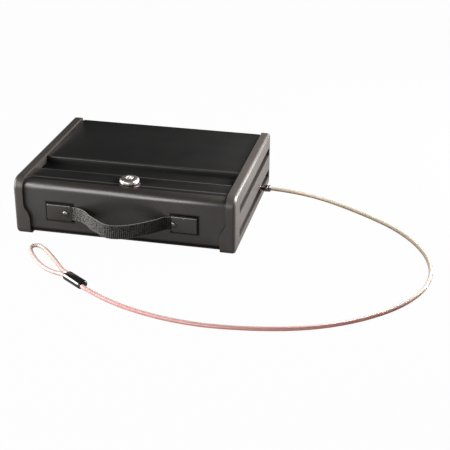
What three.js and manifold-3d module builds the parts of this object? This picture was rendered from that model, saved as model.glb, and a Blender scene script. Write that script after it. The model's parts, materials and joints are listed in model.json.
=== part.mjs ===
// A portable car safe: a slim steel box with moulded end caps, a hinged lid with a finger channel and a tubular
// cam lock, a webbing carry strap and a steel security cable with an eye at its end.
// Millimetres, +Z up, +Y towards the hinge. The safe stands on z = 0.
import * as THREE from "three";
import { mergeVertices } from "three/addons/utils/BufferGeometryUtils.js";
import Module from "manifold-3d";

// Case
const CASE_WIDTH = 309;
const CASE_DEPTH = 255;
const CASE_HEIGHT = 82;
const CAP_THICKNESS = 13;
const CAP_PROUD = 3.5; // the caps stand this far outside the steel skin
const SHEET = 1.5;
const GAP = 0.3; // clearance between pieces that touch
const LID_GAP = 0.8; // running clearance round the lid

// Corners, seen from the end
const FRONT_TOP_RADIUS = 15.5;
const BACK_TOP_RADIUS = 7;
const BOTTOM_RADIUS = 8.5;
const CAP_EDGE_RADIUS = 4.5;
const BEND_RADIUS = 2;

// End caps
const FOOT_WIDTH = 21; // the lapping foot, from the cap's outer face
const FOOT_TOP = 44.5; // where the foot starts to widen
const FOOT_FULL = 24.5; // where it has its full width
const FOOT_LENGTH = 31.5; // under the tray, along Y
const RECESS_HEIGHT = 12.5;
const LOWER_RECESS_Z = 13;
const UPPER_RECESS_Z = 48.5;
const RECESS_FRONT = 29.5; // from the case's front
const RECESS_BACK = 8.5; // from the case's back
const RECESS_SHALLOW = 2.5;
const RECESS_DEEP = 6.5;
const POCKET_DEPTH = 8;
const RIB = 9;
const CAP_WALL = 3;
const CAP_SCREWS = 4;
const CAP_SCREW_PITCH = 66;
const CAP_SCREW_LENGTH = 8;

// Lid
const CHANNEL_WIDTH = 43;
const CHANNEL_DEPTH = 9.5;
const CHANNEL_DRAFT = 0.4;
const RAIL_WIDTH = 37.2; // from the channel to the lid's front edge
const STEP_FROM_EDGE = 8; // the pressed step in front of the lock
const STEP_HEIGHT = 0.4;
const LID_FRONT_FLANGE = 12;
const LID_SIDE_FLANGE = 8;
const LID_PAD = 6;
const FLOOR_PAD = 5;

// Hinge
const KNUCKLE_RADIUS = 2.4;
const PIN_RADIUS = 1;
const LEAF = 1.2;
const LEAF_WIDTH = 15;
const KNUCKLES = 9;
const KNUCKLE_GAP = 0.4;

// Lock
const LOCK_X = 1;
const LOCK_FROM_EDGE = 16.7; // from the lid's front edge
const LOCK_HEAD_RADIUS = 13.5;
const LOCK_HEAD_RIM = 2.6;
const LOCK_HEAD_HEIGHT = 6.6;
const LOCK_BARREL_RADIUS = 9.5;
const LOCK_BARREL_LENGTH = 16.3; // below the lid's underside
const PLUG_RADIUS = 5.7;
const PLUG_PROUD = 0.4;
const KEYWAY_OUTER = 4.6;
const KEYWAY_INNER = 3.2;
const KEYWAY_DEPTH = 5;
const TAIL_RADIUS = 4;
const NUT_WIDTH = 23;
const NUT_HEIGHT = 4;
const WASHER = 0.9;
const CAM_LENGTH = 24;
const CAM_WIDTH = 14;
const CAM_THICKNESS = 2;
const CAM_SCREW_RADIUS = 2;
const CAM_SCREW_HEAD = 4.5;

// Strike
const STRIKE_WIDTH = 64;
const STRIKE_REACH = 15.2;
const STRIKE_HEIGHT = 14;
const STRIKE_RUN = 0.6; // play between the strike and the cam below it
const BUMPER_RADIUS = 3.2;

// Carry strap
const HANDLE_X = -2.6; // the handle's middle
const HANDLE_Z = 37.5;
const PLATE_SPACING = 175;
const PLATE_WIDTH = 35;
const PLATE_HEIGHT = 23.4;
const PLATE_THICKNESS = 1.2;
const STRAP_WIDTH = 20;
const STRAP_THICKNESS = 1.6;
const LEFT_SCREW_INSET = 7.5; // from the plate's inner edge
const RIGHT_SCREW_INSET = 3.7;
const HANDLE_SCREW_HEAD = 4.6;
const HANDLE_SCREW_RADIUS = 2;
const HANDLE_NUT_WIDTH = 8;
const HANDLE_NUT_HEIGHT = 3.2;
const HANDLE_SCREW_INSIDE = 5; // the screw's end, from the wall's inner face

// Security cable
const ANCHOR_Y = 58;
const ANCHOR_Z = 20.2;
const FERRULE_RADIUS = 4.9;
const NECK_RADIUS = 3.4;
const FERRULE_REACH = 14; // beyond the cap's outer face
const STOP_DISC_RADIUS = 8;
const CABLE_DIAMETER = 5.5;
const CABLE_SIDES = 10;
const RUN_STEPS = 60;
const LOOP_STEPS = 28;
const SLEEVE_LENGTH = 38;
const SLEEVE_WIDTH = 14.4;
const SLEEVE_HEIGHT = 10;

// Places that follow from the sizes above
const END = CASE_WIDTH / 2;
const CAP_INNER = END - CAP_THICKNESS;
const SHELL_END = CAP_INNER - GAP;
const FRONT = -CASE_DEPTH / 2 + CAP_PROUD;
const BACK = CASE_DEPTH / 2 - CAP_PROUD;
const BOTTOM = CAP_PROUD;
const TOP = CASE_HEIGHT - CAP_PROUD;
const SKIN_FRONT_RADIUS = FRONT_TOP_RADIUS - CAP_PROUD;
const SKIN_BOTTOM_RADIUS = BOTTOM_RADIUS - CAP_PROUD;
const FRONT_INNER = FRONT + SHEET;
const BACK_INNER = BACK - SHEET;
const FLOOR = BOTTOM + SHEET;
const LID_UNDER = TOP - SHEET;
const LID_FRONT = FRONT + SKIN_FRONT_RADIUS + LID_GAP;
const LID_HALF = SHELL_END - LID_GAP + GAP;
const CHANNEL_FRONT = LID_FRONT + RAIL_WIDTH;
const CHANNEL_BACK = CHANNEL_FRONT + CHANNEL_WIDTH;
const HINGE_Y = BACK_INNER - GAP - LEAF + KNUCKLE_RADIUS;
const HINGE_Z = TOP - GAP - KNUCKLE_RADIUS;
const LID_BACK = HINGE_Y - KNUCKLE_RADIUS - GAP - 0.1;
const BACK_TOP = HINGE_Z - KNUCKLE_RADIUS - GAP;
const PLATE_OUTER = SHELL_END;
const PLATE_INNER = PLATE_OUTER - SHEET;
const HINGE_HALF = PLATE_INNER - 4 * GAP;
const FLANGE_HALF = PLATE_INNER - LID_GAP;
const LOCK_Y = LID_FRONT + LOCK_FROM_EDGE;
const BARREL_BOTTOM = LID_UNDER - LOCK_BARREL_LENGTH;
const CAM_TOP = BARREL_BOTTOM - GAP;
const STRIKE_UNDER = CAM_TOP + STRIKE_RUN;
const STRIKE_TOP = STRIKE_UNDER + SHEET;
const FLANGE_BOTTOM = TOP - STEP_HEIGHT - LID_FRONT_FLANGE;
const POCKET = STRAP_THICKNESS + 2 * GAP;
const STRAP_Y = FRONT - GAP - POCKET / 2;
const PLATE_FRONT = FRONT - GAP - POCKET - PLATE_THICKNESS;

// The strap's line in plan, as [x, y] from the handle's middle and the steel front
const STRAP_LINE = [
  [-50.5, -8.2], [-37.5, -21.8], [-23.5, -33], [-11.5, -42], [-2, -44.6], [11, -42.8],
  [25.5, -35.5], [39.5, -25], [52, -13],
];

// The cable's route on the ground, from the anchor to the sleeve
const CABLE_ROUTE = [
  [188.7, 58.4, 19.2], [211.5, 59.2, 16.7], [234.2, 59.3, 13.1], [257.6, 56, 9.3], [281.3, 48.7, 6.1],
  [303.7, 37.8, 4.1], [327.3, 22.8, 3], [351.8, 2.3, 2.8], [374.1, -23.3, 2.8], [393.1, -53.8, 2.8],
  [406.6, -89.3, 2.8], [411.6, -127.9, 2.8], [405.9, -166.3, 2.8], [391.2, -200.1, 2.8],
  [372.2, -227.1, 2.8], [349.7, -249.8, 2.8], [324.4, -269.4, 2.8], [295, -286.4, 2.8],
  [261.6, -299.6, 2.8], [226.6, -308.2, 2.8], [191, -313.5, 2.8], [155.2, -315.6, 2.8],
  [119.4, -312.9, 2.8], [84.1, -305.6, 2.8], [50, -294.2, 2.8], [21.1, -280.4, 2.8], [6.5, -272.6, 3.6],
];

// The sleeve's two end points, and the eye's route between them
const SLEEVE_NEAR = new THREE.Vector3(-11.2, -259, SLEEVE_HEIGHT / 2);
const SLEEVE_ANGLE = THREE.MathUtils.degToRad(144);
const EYE_ROUTE = [
  [-53.3, -221.5, 3.4], [-65.5, -205.7, 2.8], [-78.3, -190.4, 2.8], [-91, -175.9, 2.8], [-100.8, -166.4, 2.8],
  [-109.3, -161.8, 2.8], [-115.4, -163.6, 2.8], [-116.2, -171, 2.8], [-112.2, -180.4, 2.8],
  [-105.6, -190.6, 2.8], [-97, -201.5, 2.8], [-87.6, -212, 2.8], [-76, -221.6, 2.8], [-64, -228.6, 3],
  [-56, -232.2, 3.7],
];

const wasm = await Module();
wasm.setup();

// Booleans on three.js geometries
function toSolid(geometry) {
  const bare = geometry.index ? geometry.toNonIndexed() : geometry.clone();
  bare.deleteAttribute("normal");
  bare.deleteAttribute("uv");
  const merged = mergeVertices(bare, 1e-4);
  return new wasm.Manifold(
    new wasm.Mesh({
      numProp: 3,
      vertProperties: merged.attributes.position.array,
      triVerts: new Uint32Array(merged.index.array),
    }),
  );
}

function toGeometry(solid) {
  const mesh = solid.getMesh();
  const geometry = new THREE.BufferGeometry();
  const positions = new Float32Array(mesh.numVert * 3);
  for (let i = 0; i < mesh.numVert; i++) {
    positions.set(mesh.vertProperties.subarray(i * mesh.numProp, i * mesh.numProp + 3), i * 3);
  }
  geometry.setAttribute("position", new THREE.BufferAttribute(positions, 3));
  geometry.setIndex(new THREE.BufferAttribute(new Uint32Array(mesh.triVerts), 1));
  const flat = geometry.toNonIndexed();
  flat.computeVertexNormals();
  return flat;
}

function join(...pieces) {
  return toGeometry(pieces.map(toSolid).reduce((sum, piece) => sum.add(piece)));
}

function cut(piece, ...tools) {
  return toGeometry(tools.map(toSolid).reduce((rest, tool) => rest.subtract(tool), toSolid(piece)));
}

function keep(piece, mask) {
  return toGeometry(toSolid(piece).intersect(toSolid(mask)));
}

// Simple solids
function box(x0, x1, y0, y1, z0, z1) {
  return new THREE.BoxGeometry(x1 - x0, y1 - y0, z1 - z0)
    .translate((x0 + x1) / 2, (y0 + y1) / 2, (z0 + z1) / 2);
}

function extrude(points, depth) {
  const shape = new THREE.Shape(points.map(([a, b]) => new THREE.Vector2(a, b)));
  return new THREE.ExtrudeGeometry(shape, { depth, bevelEnabled: false, steps: 1 });
}

// A profile in (y, z), extruded along X
function prismX(points, x0, x1) {
  const turn = new THREE.Matrix4().set(0, 0, 1, x0, 1, 0, 0, 0, 0, 1, 0, 0, 0, 0, 0, 1);
  return extrude(points, x1 - x0).applyMatrix4(turn);
}

// A profile in (x, z), extruded along Y
function prismY(points, y0, y1) {
  const turn = new THREE.Matrix4().set(0, 1, 0, 0, 0, 0, 1, y0, 1, 0, 0, 0, 0, 0, 0, 1);
  return extrude(points.map(([x, z]) => [z, x]), y1 - y0).applyMatrix4(turn);
}

// A profile in (x, y), extruded along Z
function prismZ(points, z0, z1) {
  return extrude(points, z1 - z0).translate(0, 0, z0);
}

// A turned piece: a profile of [radius, height] from the axis at the bottom to the axis at the top, about +Z
function turned(profile, sides = 32) {
  const points = profile.map(([r, h]) => new THREE.Vector2(r, h));
  return new THREE.LatheGeometry(points, sides).rotateX(Math.PI / 2);
}

// The same, about +X
function turnedX(profile, sides = 32) {
  return turned(profile, sides).rotateY(Math.PI / 2);
}

function rod(radius, z0, z1, sides = 24) {
  return turned([[0, z0], [radius, z0], [radius, z1], [0, z1]], sides);
}

function rodX(radius, x0, x1, sides = 24) {
  return turnedX([[0, x0], [radius, x0], [radius, x1], [0, x1]], sides);
}

function hexagon(width) {
  const corners = [];
  for (let i = 0; i < 6; i++) {
    const angle = (i * Math.PI) / 3;
    corners.push([(width / Math.sqrt(3)) * Math.cos(angle), (width / Math.sqrt(3)) * Math.sin(angle)]);
  }
  return corners;
}

// A line of [a, b, radius] corners with its corners rounded
function rounded(corners, closed = false, steps = 4) {
  const line = [];
  corners.forEach(([a, b, radius = 0], i) => {
    const before = corners[(i + corners.length - 1) % corners.length];
    const after = corners[(i + 1) % corners.length];
    if (!radius || (!closed && (i === 0 || i === corners.length - 1))) {
      line.push([a, b]);
      return;
    }
    const here = new THREE.Vector2(a, b);
    const back = new THREE.Vector2(before[0], before[1]).sub(here).normalize();
    const on = new THREE.Vector2(after[0], after[1]).sub(here).normalize();
    const half = Math.acos(THREE.MathUtils.clamp(back.dot(on), -1, 1)) / 2;
    const centre = back.clone().add(on).normalize().multiplyScalar(radius / Math.sin(half)).add(here);
    const from = back.multiplyScalar(radius / Math.tan(half)).add(here).sub(centre);
    const to = on.multiplyScalar(radius / Math.tan(half)).add(here).sub(centre);
    const turn = Math.atan2(from.cross(to), from.dot(to));
    for (let s = 0; s <= steps; s++) {
      const p = from.clone().rotateAround(new THREE.Vector2(), (turn * s) / steps).add(centre);
      line.push([p.x, p.y]);
    }
  });
  return line;
}

// A folded sheet's section: the outer line and, a thickness to its right, the inner one
function folded(line, thickness) {
  const points = line.map(([a, b]) => new THREE.Vector2(a, b));
  const inner = points.map((point, i) => {
    const before = points[Math.max(i - 1, 0)];
    const after = points[Math.min(i + 1, points.length - 1)];
    const one = point.clone().sub(before);
    const two = after.clone().sub(point);
    if (one.lengthSq() === 0) one.copy(two);
    if (two.lengthSq() === 0) two.copy(one);
    const n1 = new THREE.Vector2(one.y, -one.x).normalize();
    const n2 = new THREE.Vector2(two.y, -two.x).normalize();
    const offset = n1.clone().add(n2).multiplyScalar(thickness / (1 + n1.dot(n2)));
    return offset.add(point);
  });
  return [...points, ...inner.reverse()].map((p) => [p.x, p.y]);
}

// The case's outline seen from the end, drawn in by an inset
function outline(inset, steps = 6) {
  const y = CASE_DEPTH / 2 - inset;
  const corners = [
    [-y, inset, Math.max(BOTTOM_RADIUS - inset, 0.5)],
    [y, inset, Math.max(BOTTOM_RADIUS - inset, 0.5)],
    [y, CASE_HEIGHT - inset, Math.max(BACK_TOP_RADIUS - inset, 0.5)],
    [-y, CASE_HEIGHT - inset, Math.max(FRONT_TOP_RADIUS - inset, 0.5)],
  ];
  return rounded(corners, true, steps);
}

// Rings of equal length, each a list of [x, y, z], joined into one closed skin
function skin(rings) {
  const count = rings[0].length;
  const positions = rings.flat(2);
  const index = [];
  for (let r = 0; r + 1 < rings.length; r++) {
    for (let i = 0; i < count; i++) {
      const a = r * count + i;
      const b = r * count + ((i + 1) % count);
      index.push(a, b, b + count, a, b + count, a + count);
    }
  }
  const flat = rings[0].map(([, y, z]) => new THREE.Vector2(y, z));
  const last = (rings.length - 1) * count;
  for (const [a, b, c] of THREE.ShapeUtils.triangulateShape(flat, [])) {
    index.push(c, b, a, last + a, last + b, last + c);
  }
  const geometry = new THREE.BufferGeometry();
  geometry.setAttribute("position", new THREE.BufferAttribute(new Float32Array(positions), 3));
  geometry.setIndex(index);
  return geometry;
}

// Materials
const steel = (color, roughness) => new THREE.MeshStandardMaterial({ color, roughness, metalness: 0.4 });
const plastic = (color, roughness) => new THREE.MeshStandardMaterial({ color, roughness, metalness: 0 });
const blackPaint = steel(0x262626, 0.45);
const greyPaint = steel(0x3a3634, 0.4);
const capPlastic = plastic(0x45403d, 0.5);
const zincSteel = steel(0xa9abad, 0.35);
const chrome = new THREE.MeshStandardMaterial({ color: 0xd8d8da, roughness: 0.12, metalness: 1 });
const blackZinc = steel(0x161616, 0.3);
const foam = plastic(0x2b2c2f, 0.95);
const webbing = plastic(0x22241f, 0.9);
const rubber = plastic(0x151515, 0.8);
const cableJacket = plastic(0xc9b3a6, 0.25);
const sleeveBlack = plastic(0x0b0b0b, 0.15);

const safe = new THREE.Group();

function add(name, geometry, material, parent = safe) {
  const mesh = new THREE.Mesh(geometry, material);
  mesh.name = name;
  parent.add(mesh);
  return mesh;
}

// The tray: one sheet from the back edge down, under and up to the rolled front corner
function bodyShell() {
  const line = rounded([
    [FRONT + SKIN_FRONT_RADIUS, TOP],
    [FRONT, TOP, SKIN_FRONT_RADIUS],
    [FRONT, BOTTOM, SKIN_BOTTOM_RADIUS],
    [BACK, BOTTOM, SKIN_BOTTOM_RADIUS],
    [BACK, BACK_TOP],
  ], false, 6);
  const tray = prismX(folded(line, -SHEET), -SHELL_END, SHELL_END);
  const holes = handleSides.map((side) => {
    const x = handleScrewX(side);
    return rod(HANDLE_SCREW_RADIUS + GAP, -1, 1, 16)
      .scale(1, 1, 5).rotateX(Math.PI / 2).translate(x, FRONT, HANDLE_Z);
  });
  return cut(tray, ...holes);
}

// A steel end, notched below the lid's finger channel
function endPlate(side) {
  const inset = CAP_PROUD + SHEET + GAP;
  const low = LID_UNDER - STEP_HEIGHT - 2 * GAP;
  const notch = TOP - CHANNEL_DEPTH - SHEET - 2 * GAP;
  const full = prismX(outline(inset, 4), PLATE_INNER, PLATE_OUTER);
  const over = 4;
  const margin = SHEET + 2 * GAP;
  let plate = cut(
    full,
    box(PLATE_INNER - over, PLATE_OUTER + over, FRONT - over, BACK + over, low, CASE_HEIGHT + over),
    box(PLATE_INNER - over, PLATE_OUTER + over, CHANNEL_FRONT - margin, CHANNEL_BACK + margin,
      notch, CASE_HEIGHT),
    box(PLATE_INNER - over, PLATE_OUTER + over, LID_BACK, BACK + over, BACK_TOP - GAP, CASE_HEIGHT),
    ...capScrewYs.map((y) => rodX(HANDLE_SCREW_RADIUS + GAP, PLATE_INNER - over, PLATE_OUTER + over, 16)
      .translate(0, y, CAP_SCREW_Z)),
  );
  if (side > 0) plate = cut(plate, anchorHole());
  if (side < 0) plate = mirrored(plate);
  return plate;
}

// A mirrored copy, left for right, with its faces still pointing out
function mirrored(geometry) {
  const copy = geometry.clone().scale(-1, 1, 1);
  const p = copy.attributes.position;
  const swap = new THREE.Vector3();
  for (let i = 0; i < p.count; i += 3) {
    swap.fromBufferAttribute(p, i + 1);
    p.setXYZ(i + 1, p.getX(i + 2), p.getY(i + 2), p.getZ(i + 2));
    p.setXYZ(i + 2, swap.x, swap.y, swap.z);
  }
  copy.computeVertexNormals();
  return copy;
}

function anchorHole() {
  return rodX(FERRULE_RADIUS + GAP, PLATE_INNER - 5, END + 5, 24).translate(0, ANCHOR_Y, ANCHOR_Z);
}

const CAP_SCREW_Z = (LOWER_RECESS_Z + RECESS_HEIGHT + UPPER_RECESS_Z) / 2;
const capScrewYs = Array.from({ length: CAP_SCREWS }, (_, i) => (i - (CAP_SCREWS - 1) / 2) * CAP_SCREW_PITCH);

// The moulded end cap for the right end: rounded outer edge, recesses, inner pockets and lapping feet
function endCap() {
  const rings = [outline(0).map(([y, z]) => [CAP_INNER, y, z])];
  const steps = 4;
  for (let s = 0; s <= steps; s++) {
    const angle = (s / steps) * (Math.PI / 2);
    const x = END - CAP_EDGE_RADIUS * (1 - Math.sin(angle));
    rings.push(outline(CAP_EDGE_RADIUS * (1 - Math.cos(angle))).map(([y, z]) => [x, y, z]));
  }
  const plate = skin(rings);

  const footEdge = END - FOOT_WIDTH;
  const flange = prismX(outline(0), footEdge, CAP_INNER + 1);
  const hollow = prismX(outline(CAP_PROUD - GAP), footEdge - 1, CAP_INNER);
  const sEdge = [];
  const turns = 10;
  for (let i = 0; i <= turns; i++) {
    const t = i / turns;
    const ease = (1 - Math.cos(Math.PI * t)) / 2;
    sEdge.push([footEdge + (CAP_INNER - footEdge) * ease, FOOT_FULL + (FOOT_TOP - FOOT_FULL) * t]);
  }
  const lap = [[END, -1], [footEdge, -1], ...sEdge, [CAP_INNER, FOOT_TOP + 5], [END, FOOT_TOP + 5]];
  const under = CASE_DEPTH / 2 - FOOT_LENGTH;
  const feet = cut(
    keep(flange, prismY(lap, -CASE_DEPTH, CASE_DEPTH)),
    hollow,
    box(footEdge - 1, CAP_INNER, -under, under, -1, CASE_HEIGHT),
  );

  const rear = CASE_DEPTH / 2 - RECESS_BACK;
  const fore = -CASE_DEPTH / 2 + RECESS_FRONT;
  const wedge = [
    [END + 5, fore], [END - RECESS_SHALLOW, fore], [END - RECESS_DEEP, rear], [END + 5, rear],
  ];
  const recesses = [LOWER_RECESS_Z, UPPER_RECESS_Z].map((z) => prismZ(wedge, z, z + RECESS_HEIGHT));

  const pockets = [];
  const bands = [
    [LOWER_RECESS_Z + RECESS_HEIGHT + CAP_WALL, UPPER_RECESS_Z - CAP_WALL],
    [UPPER_RECESS_Z + RECESS_HEIGHT + CAP_WALL, TOP - CAP_WALL],
  ];
  for (const [z0, z1] of bands) {
    for (let i = 0; i + 1 < CAP_SCREWS; i++) {
      const y0 = capScrewYs[i] + RIB / 2;
      const y1 = capScrewYs[i + 1] - RIB / 2;
      pockets.push(box(CAP_INNER - 1, CAP_INNER + POCKET_DEPTH, y0, y1, z0, z1));
    }
  }
  const screwHoles = capScrewYs.map((y) =>
    rodX(HANDLE_SCREW_RADIUS + GAP, CAP_INNER - 1, CAP_INNER + CAP_SCREW_LENGTH + GAP, 16)
      .translate(0, y, CAP_SCREW_Z));
  return cut(join(plate, feet), ...recesses, ...pockets, ...screwHoles);
}

// A pan-head screw about +Z: head below z = 0, shank above
function panScrew(headRadius, headHeight, shankRadius, length) {
  return turned([
    [0, -headHeight],
    [headRadius * 0.62, -headHeight],
    [headRadius * 0.9, -headHeight * 0.7],
    [headRadius, -headHeight * 0.3],
    [headRadius, 0],
    [shankRadius, 0],
    [shankRadius, length],
    [0, length],
  ], 20);
}

// The lid: one sheet from the hinge to the front edge, with the finger channel pressed in, and flanges
function lidPanel() {
  const floorZ = TOP - CHANNEL_DEPTH;
  const line = rounded([
    [LID_BACK, TOP],
    [CHANNEL_BACK, TOP, BEND_RADIUS],
    [CHANNEL_BACK - CHANNEL_DRAFT, floorZ, BEND_RADIUS],
    [CHANNEL_FRONT + CHANNEL_DRAFT, floorZ, BEND_RADIUS],
    [CHANNEL_FRONT, TOP, BEND_RADIUS],
    [LID_FRONT + STEP_FROM_EDGE + STEP_HEIGHT, TOP],
    [LID_FRONT + STEP_FROM_EDGE, TOP - STEP_HEIGHT],
    [LID_FRONT, TOP - STEP_HEIGHT, BEND_RADIUS],
    [LID_FRONT, FLANGE_BOTTOM],
  ]);
  const sheet = prismX(folded(line, -SHEET), -LID_HALF, LID_HALF);
  const flangeEnds = [-1, 1].map((side) => {
    const from = side * FLANGE_HALF;
    const to = side * (LID_HALF + 1);
    return box(Math.min(from, to), Math.max(from, to), LID_FRONT - 1, LID_FRONT + SHEET + GAP,
      FLANGE_BOTTOM - 1, LID_UNDER - STEP_HEIGHT - GAP);
  });
  const strips = [
    [LID_FRONT + SHEET + GAP, CHANNEL_FRONT - SHEET - GAP, LID_UNDER - STEP_HEIGHT],
    [CHANNEL_BACK + SHEET + GAP, HINGE_Y - LEAF_WIDTH - GAP, LID_UNDER],
  ];
  const sides = [];
  for (const side of [-1, 1]) {
    const from = side * (FLANGE_HALF - SHEET);
    const to = side * FLANGE_HALF;
    for (const [y0, y1, z] of strips) {
      sides.push(box(Math.min(from, to), Math.max(from, to), y0, y1,
        LID_UNDER - LID_SIDE_FLANGE, z + SHEET / 2));
    }
  }
  const hole = rod(LOCK_BARREL_RADIUS + GAP, LID_UNDER - 2, TOP + 2, 32).translate(LOCK_X, LOCK_Y, 0);
  return cut(join(sheet, ...sides), ...flangeEnds, hole);
}

// One leaf of the hinge, in the hinge's own frame: axis along X at the origin, leaf hanging down -Z
function hingeLeaf(first, offset) {
  const pitch = (2 * HINGE_HALF) / KNUCKLES;
  const plate = box(-HINGE_HALF, HINGE_HALF, offset, offset + LEAF, -LEAF_WIDTH, 0);
  const clear = KNUCKLE_RADIUS + GAP;
  const knuckles = [];
  const notches = [];
  for (let i = 0; i < KNUCKLES; i++) {
    const x0 = -HINGE_HALF + i * pitch;
    if (i % 2 === first) {
      knuckles.push(rodX(KNUCKLE_RADIUS, x0 + KNUCKLE_GAP / 2, x0 + pitch - KNUCKLE_GAP / 2, 20));
    } else {
      const over = i === 0 || i === KNUCKLES - 1 ? 1 : 0;
      const left = i === 0 ? x0 - over : x0 - KNUCKLE_GAP / 2;
      const right = i === KNUCKLES - 1 ? x0 + pitch + over : x0 + pitch + KNUCKLE_GAP / 2;
      notches.push(box(left, right, -clear - LEAF, clear + LEAF, -clear, clear));
    }
  }
  const bore = rodX(PIN_RADIUS + GAP, -HINGE_HALF - 1, HINGE_HALF + 1, 12);
  return cut(join(cut(plate, ...notches), ...knuckles), bore);
}

// The chrome head and threaded barrel of the lock, about +Z with z = 0 on top of the lid
function lockHousing() {
  const bore = PLUG_RADIUS + GAP;
  const bottom = -SHEET - LOCK_BARREL_LENGTH;
  const crown = bore + 1.2;
  const dome = [];
  const turns = 5;
  for (let i = 0; i <= turns; i++) {
    const angle = (i / turns) * (Math.PI / 2);
    dome.push([crown + (LOCK_HEAD_RADIUS - crown) * Math.cos(angle),
      LOCK_HEAD_RIM + (LOCK_HEAD_HEIGHT - LOCK_HEAD_RIM - 0.5) * Math.sin(angle)]);
  }
  return turned([
    [bore, bottom],
    [LOCK_BARREL_RADIUS - 0.6, bottom],
    [LOCK_BARREL_RADIUS, bottom + 0.6],
    [LOCK_BARREL_RADIUS, GAP],
    [LOCK_HEAD_RADIUS, GAP],
    ...dome,
    [crown - 0.3, LOCK_HEAD_HEIGHT],
    [bore, LOCK_HEAD_HEIGHT],
    [bore, bottom],
  ], 40);
}

// The key plug: a ring and a post with the round keyway between them, and the tail that drives the cam
function lockPlug() {
  const top = LOCK_HEAD_HEIGHT + PLUG_PROUD;
  const bottom = -SHEET - LOCK_BARREL_LENGTH;
  const tail = bottom - GAP - CAM_THICKNESS + GAP;
  const body = turned([
    [0, tail],
    [TAIL_RADIUS, tail],
    [TAIL_RADIUS, bottom],
    [PLUG_RADIUS, bottom],
    [PLUG_RADIUS, top],
    [KEYWAY_OUTER, top],
    [KEYWAY_OUTER, top - KEYWAY_DEPTH],
    [KEYWAY_INNER, top - KEYWAY_DEPTH],
    [KEYWAY_INNER, top - GAP],
    [0, top - GAP],
  ], 32);
  const notch = box(KEYWAY_OUTER - 0.5, PLUG_RADIUS + 1, -0.8, 0.8, top - 1.2, top + 1);
  const bore = rod(CAM_SCREW_RADIUS + GAP, tail - 1, tail + 7, 16);
  return cut(body, notch, bore);
}

// The cam, pointing along +X, with a round end and a crooked tip, about the lock's axis
function lockCam() {
  const half = CAM_WIDTH / 2;
  const plan = rounded([
    [-half, -half, half * 0.98], [CAM_LENGTH, -half, 3], [CAM_LENGTH, half, 3], [-half, half, half * 0.98],
  ], true, 6);
  return cut(prismZ(plan, 0, CAM_THICKNESS), rod(TAIL_RADIUS + GAP, -1, CAM_THICKNESS + 1, 32));
}

// The bracket that the cam catches under, folded from one strip and fixed to the front wall
function strikeAngle() {
  const wall = FRONT_INNER + GAP;
  const line = rounded([
    [wall, STRIKE_TOP - STRIKE_HEIGHT],
    [wall, STRIKE_TOP, BEND_RADIUS],
    [wall + STRIKE_REACH, STRIKE_TOP],
  ]);
  return prismX(folded(line, SHEET), LOCK_X - STRIKE_WIDTH / 2, LOCK_X + STRIKE_WIDTH / 2);
}

// Carry strap hardware
const handleSides = [-1, 1];

function plateX(side) {
  return HANDLE_X + (side * PLATE_SPACING) / 2;
}

function handleScrewX(side) {
  const inset = side < 0 ? LEFT_SCREW_INSET : RIGHT_SCREW_INSET;
  return plateX(side) - side * (PLATE_WIDTH / 2 - inset);
}

// A pressed plate with a raised rim that covers the strap's end
function handlePlate(side) {
  const w = PLATE_WIDTH / 2;
  const h = PLATE_HEIGHT / 2;
  const x = plateX(side);
  const depth = FRONT - GAP - PLATE_FRONT;
  const soft = 0.9;
  const plan = (d) => rounded([[-w + d, -h + d, 1.6], [w - d, -h + d, 1.6], [w - d, h - d, 1.6],
    [-w + d, h - d, 1.6]], true, 3);
  const rings = [[0, soft], [soft * 0.3, soft * 0.3], [soft, 0], [depth, 0]]
    .map(([along, inset]) => plan(inset).map(([a, b]) => [along, a, b]));
  // The rings run along +X in their own frame: outer face first, then back towards the wall
  const blank = skin(rings).rotateZ(Math.PI / 2).translate(x, PLATE_FRONT, HANDLE_Z);
  const inner = x - side * (w + 1);
  const far = x + side * (w - 3);
  const slot = box(Math.min(inner, far), Math.max(inner, far), FRONT - GAP - POCKET, FRONT + 1,
    HANDLE_Z - STRAP_WIDTH / 2 - GAP, HANDLE_Z + STRAP_WIDTH / 2 + GAP);
  const hole = rod(HANDLE_SCREW_RADIUS + GAP, -10, 10, 16)
    .rotateX(Math.PI / 2).translate(handleScrewX(side), FRONT, HANDLE_Z);
  return cut(blank, slot, hole);
}

// The strap: a flat band that bows out between the plates
function handleStrap() {
  const flat = (side) => {
    const inner = plateX(side) - side * (PLATE_WIDTH / 2);
    return [0.9, 0.45, 0].map((t) => new THREE.Vector2(
      inner + side * t * (PLATE_WIDTH - 5), STRAP_Y));
  };
  const bow = STRAP_LINE.map(([x, y]) => new THREE.Vector2(HANDLE_X + x, FRONT + y));
  const leave = (side) => new THREE.Vector2(
    plateX(side) - side * (PLATE_WIDTH / 2 + 8), STRAP_Y - 1.2);
  const line = new THREE.SplineCurve([
    ...flat(-1), leave(-1), ...bow, leave(1), ...flat(1).reverse(),
  ]).getPoints(60).map((p) => [p.x, p.y]);
  const middle = folded(line, STRAP_THICKNESS);
  const band = prismZ(middle, HANDLE_Z - STRAP_WIDTH / 2, HANDLE_Z + STRAP_WIDTH / 2)
    .translate(0, STRAP_THICKNESS / 2, 0);
  const holes = handleSides.map((side) => rod(HANDLE_SCREW_RADIUS + GAP, -8, 8, 16)
    .rotateX(Math.PI / 2).translate(handleScrewX(side), FRONT, HANDLE_Z));
  return cut(band, ...holes);
}

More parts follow.
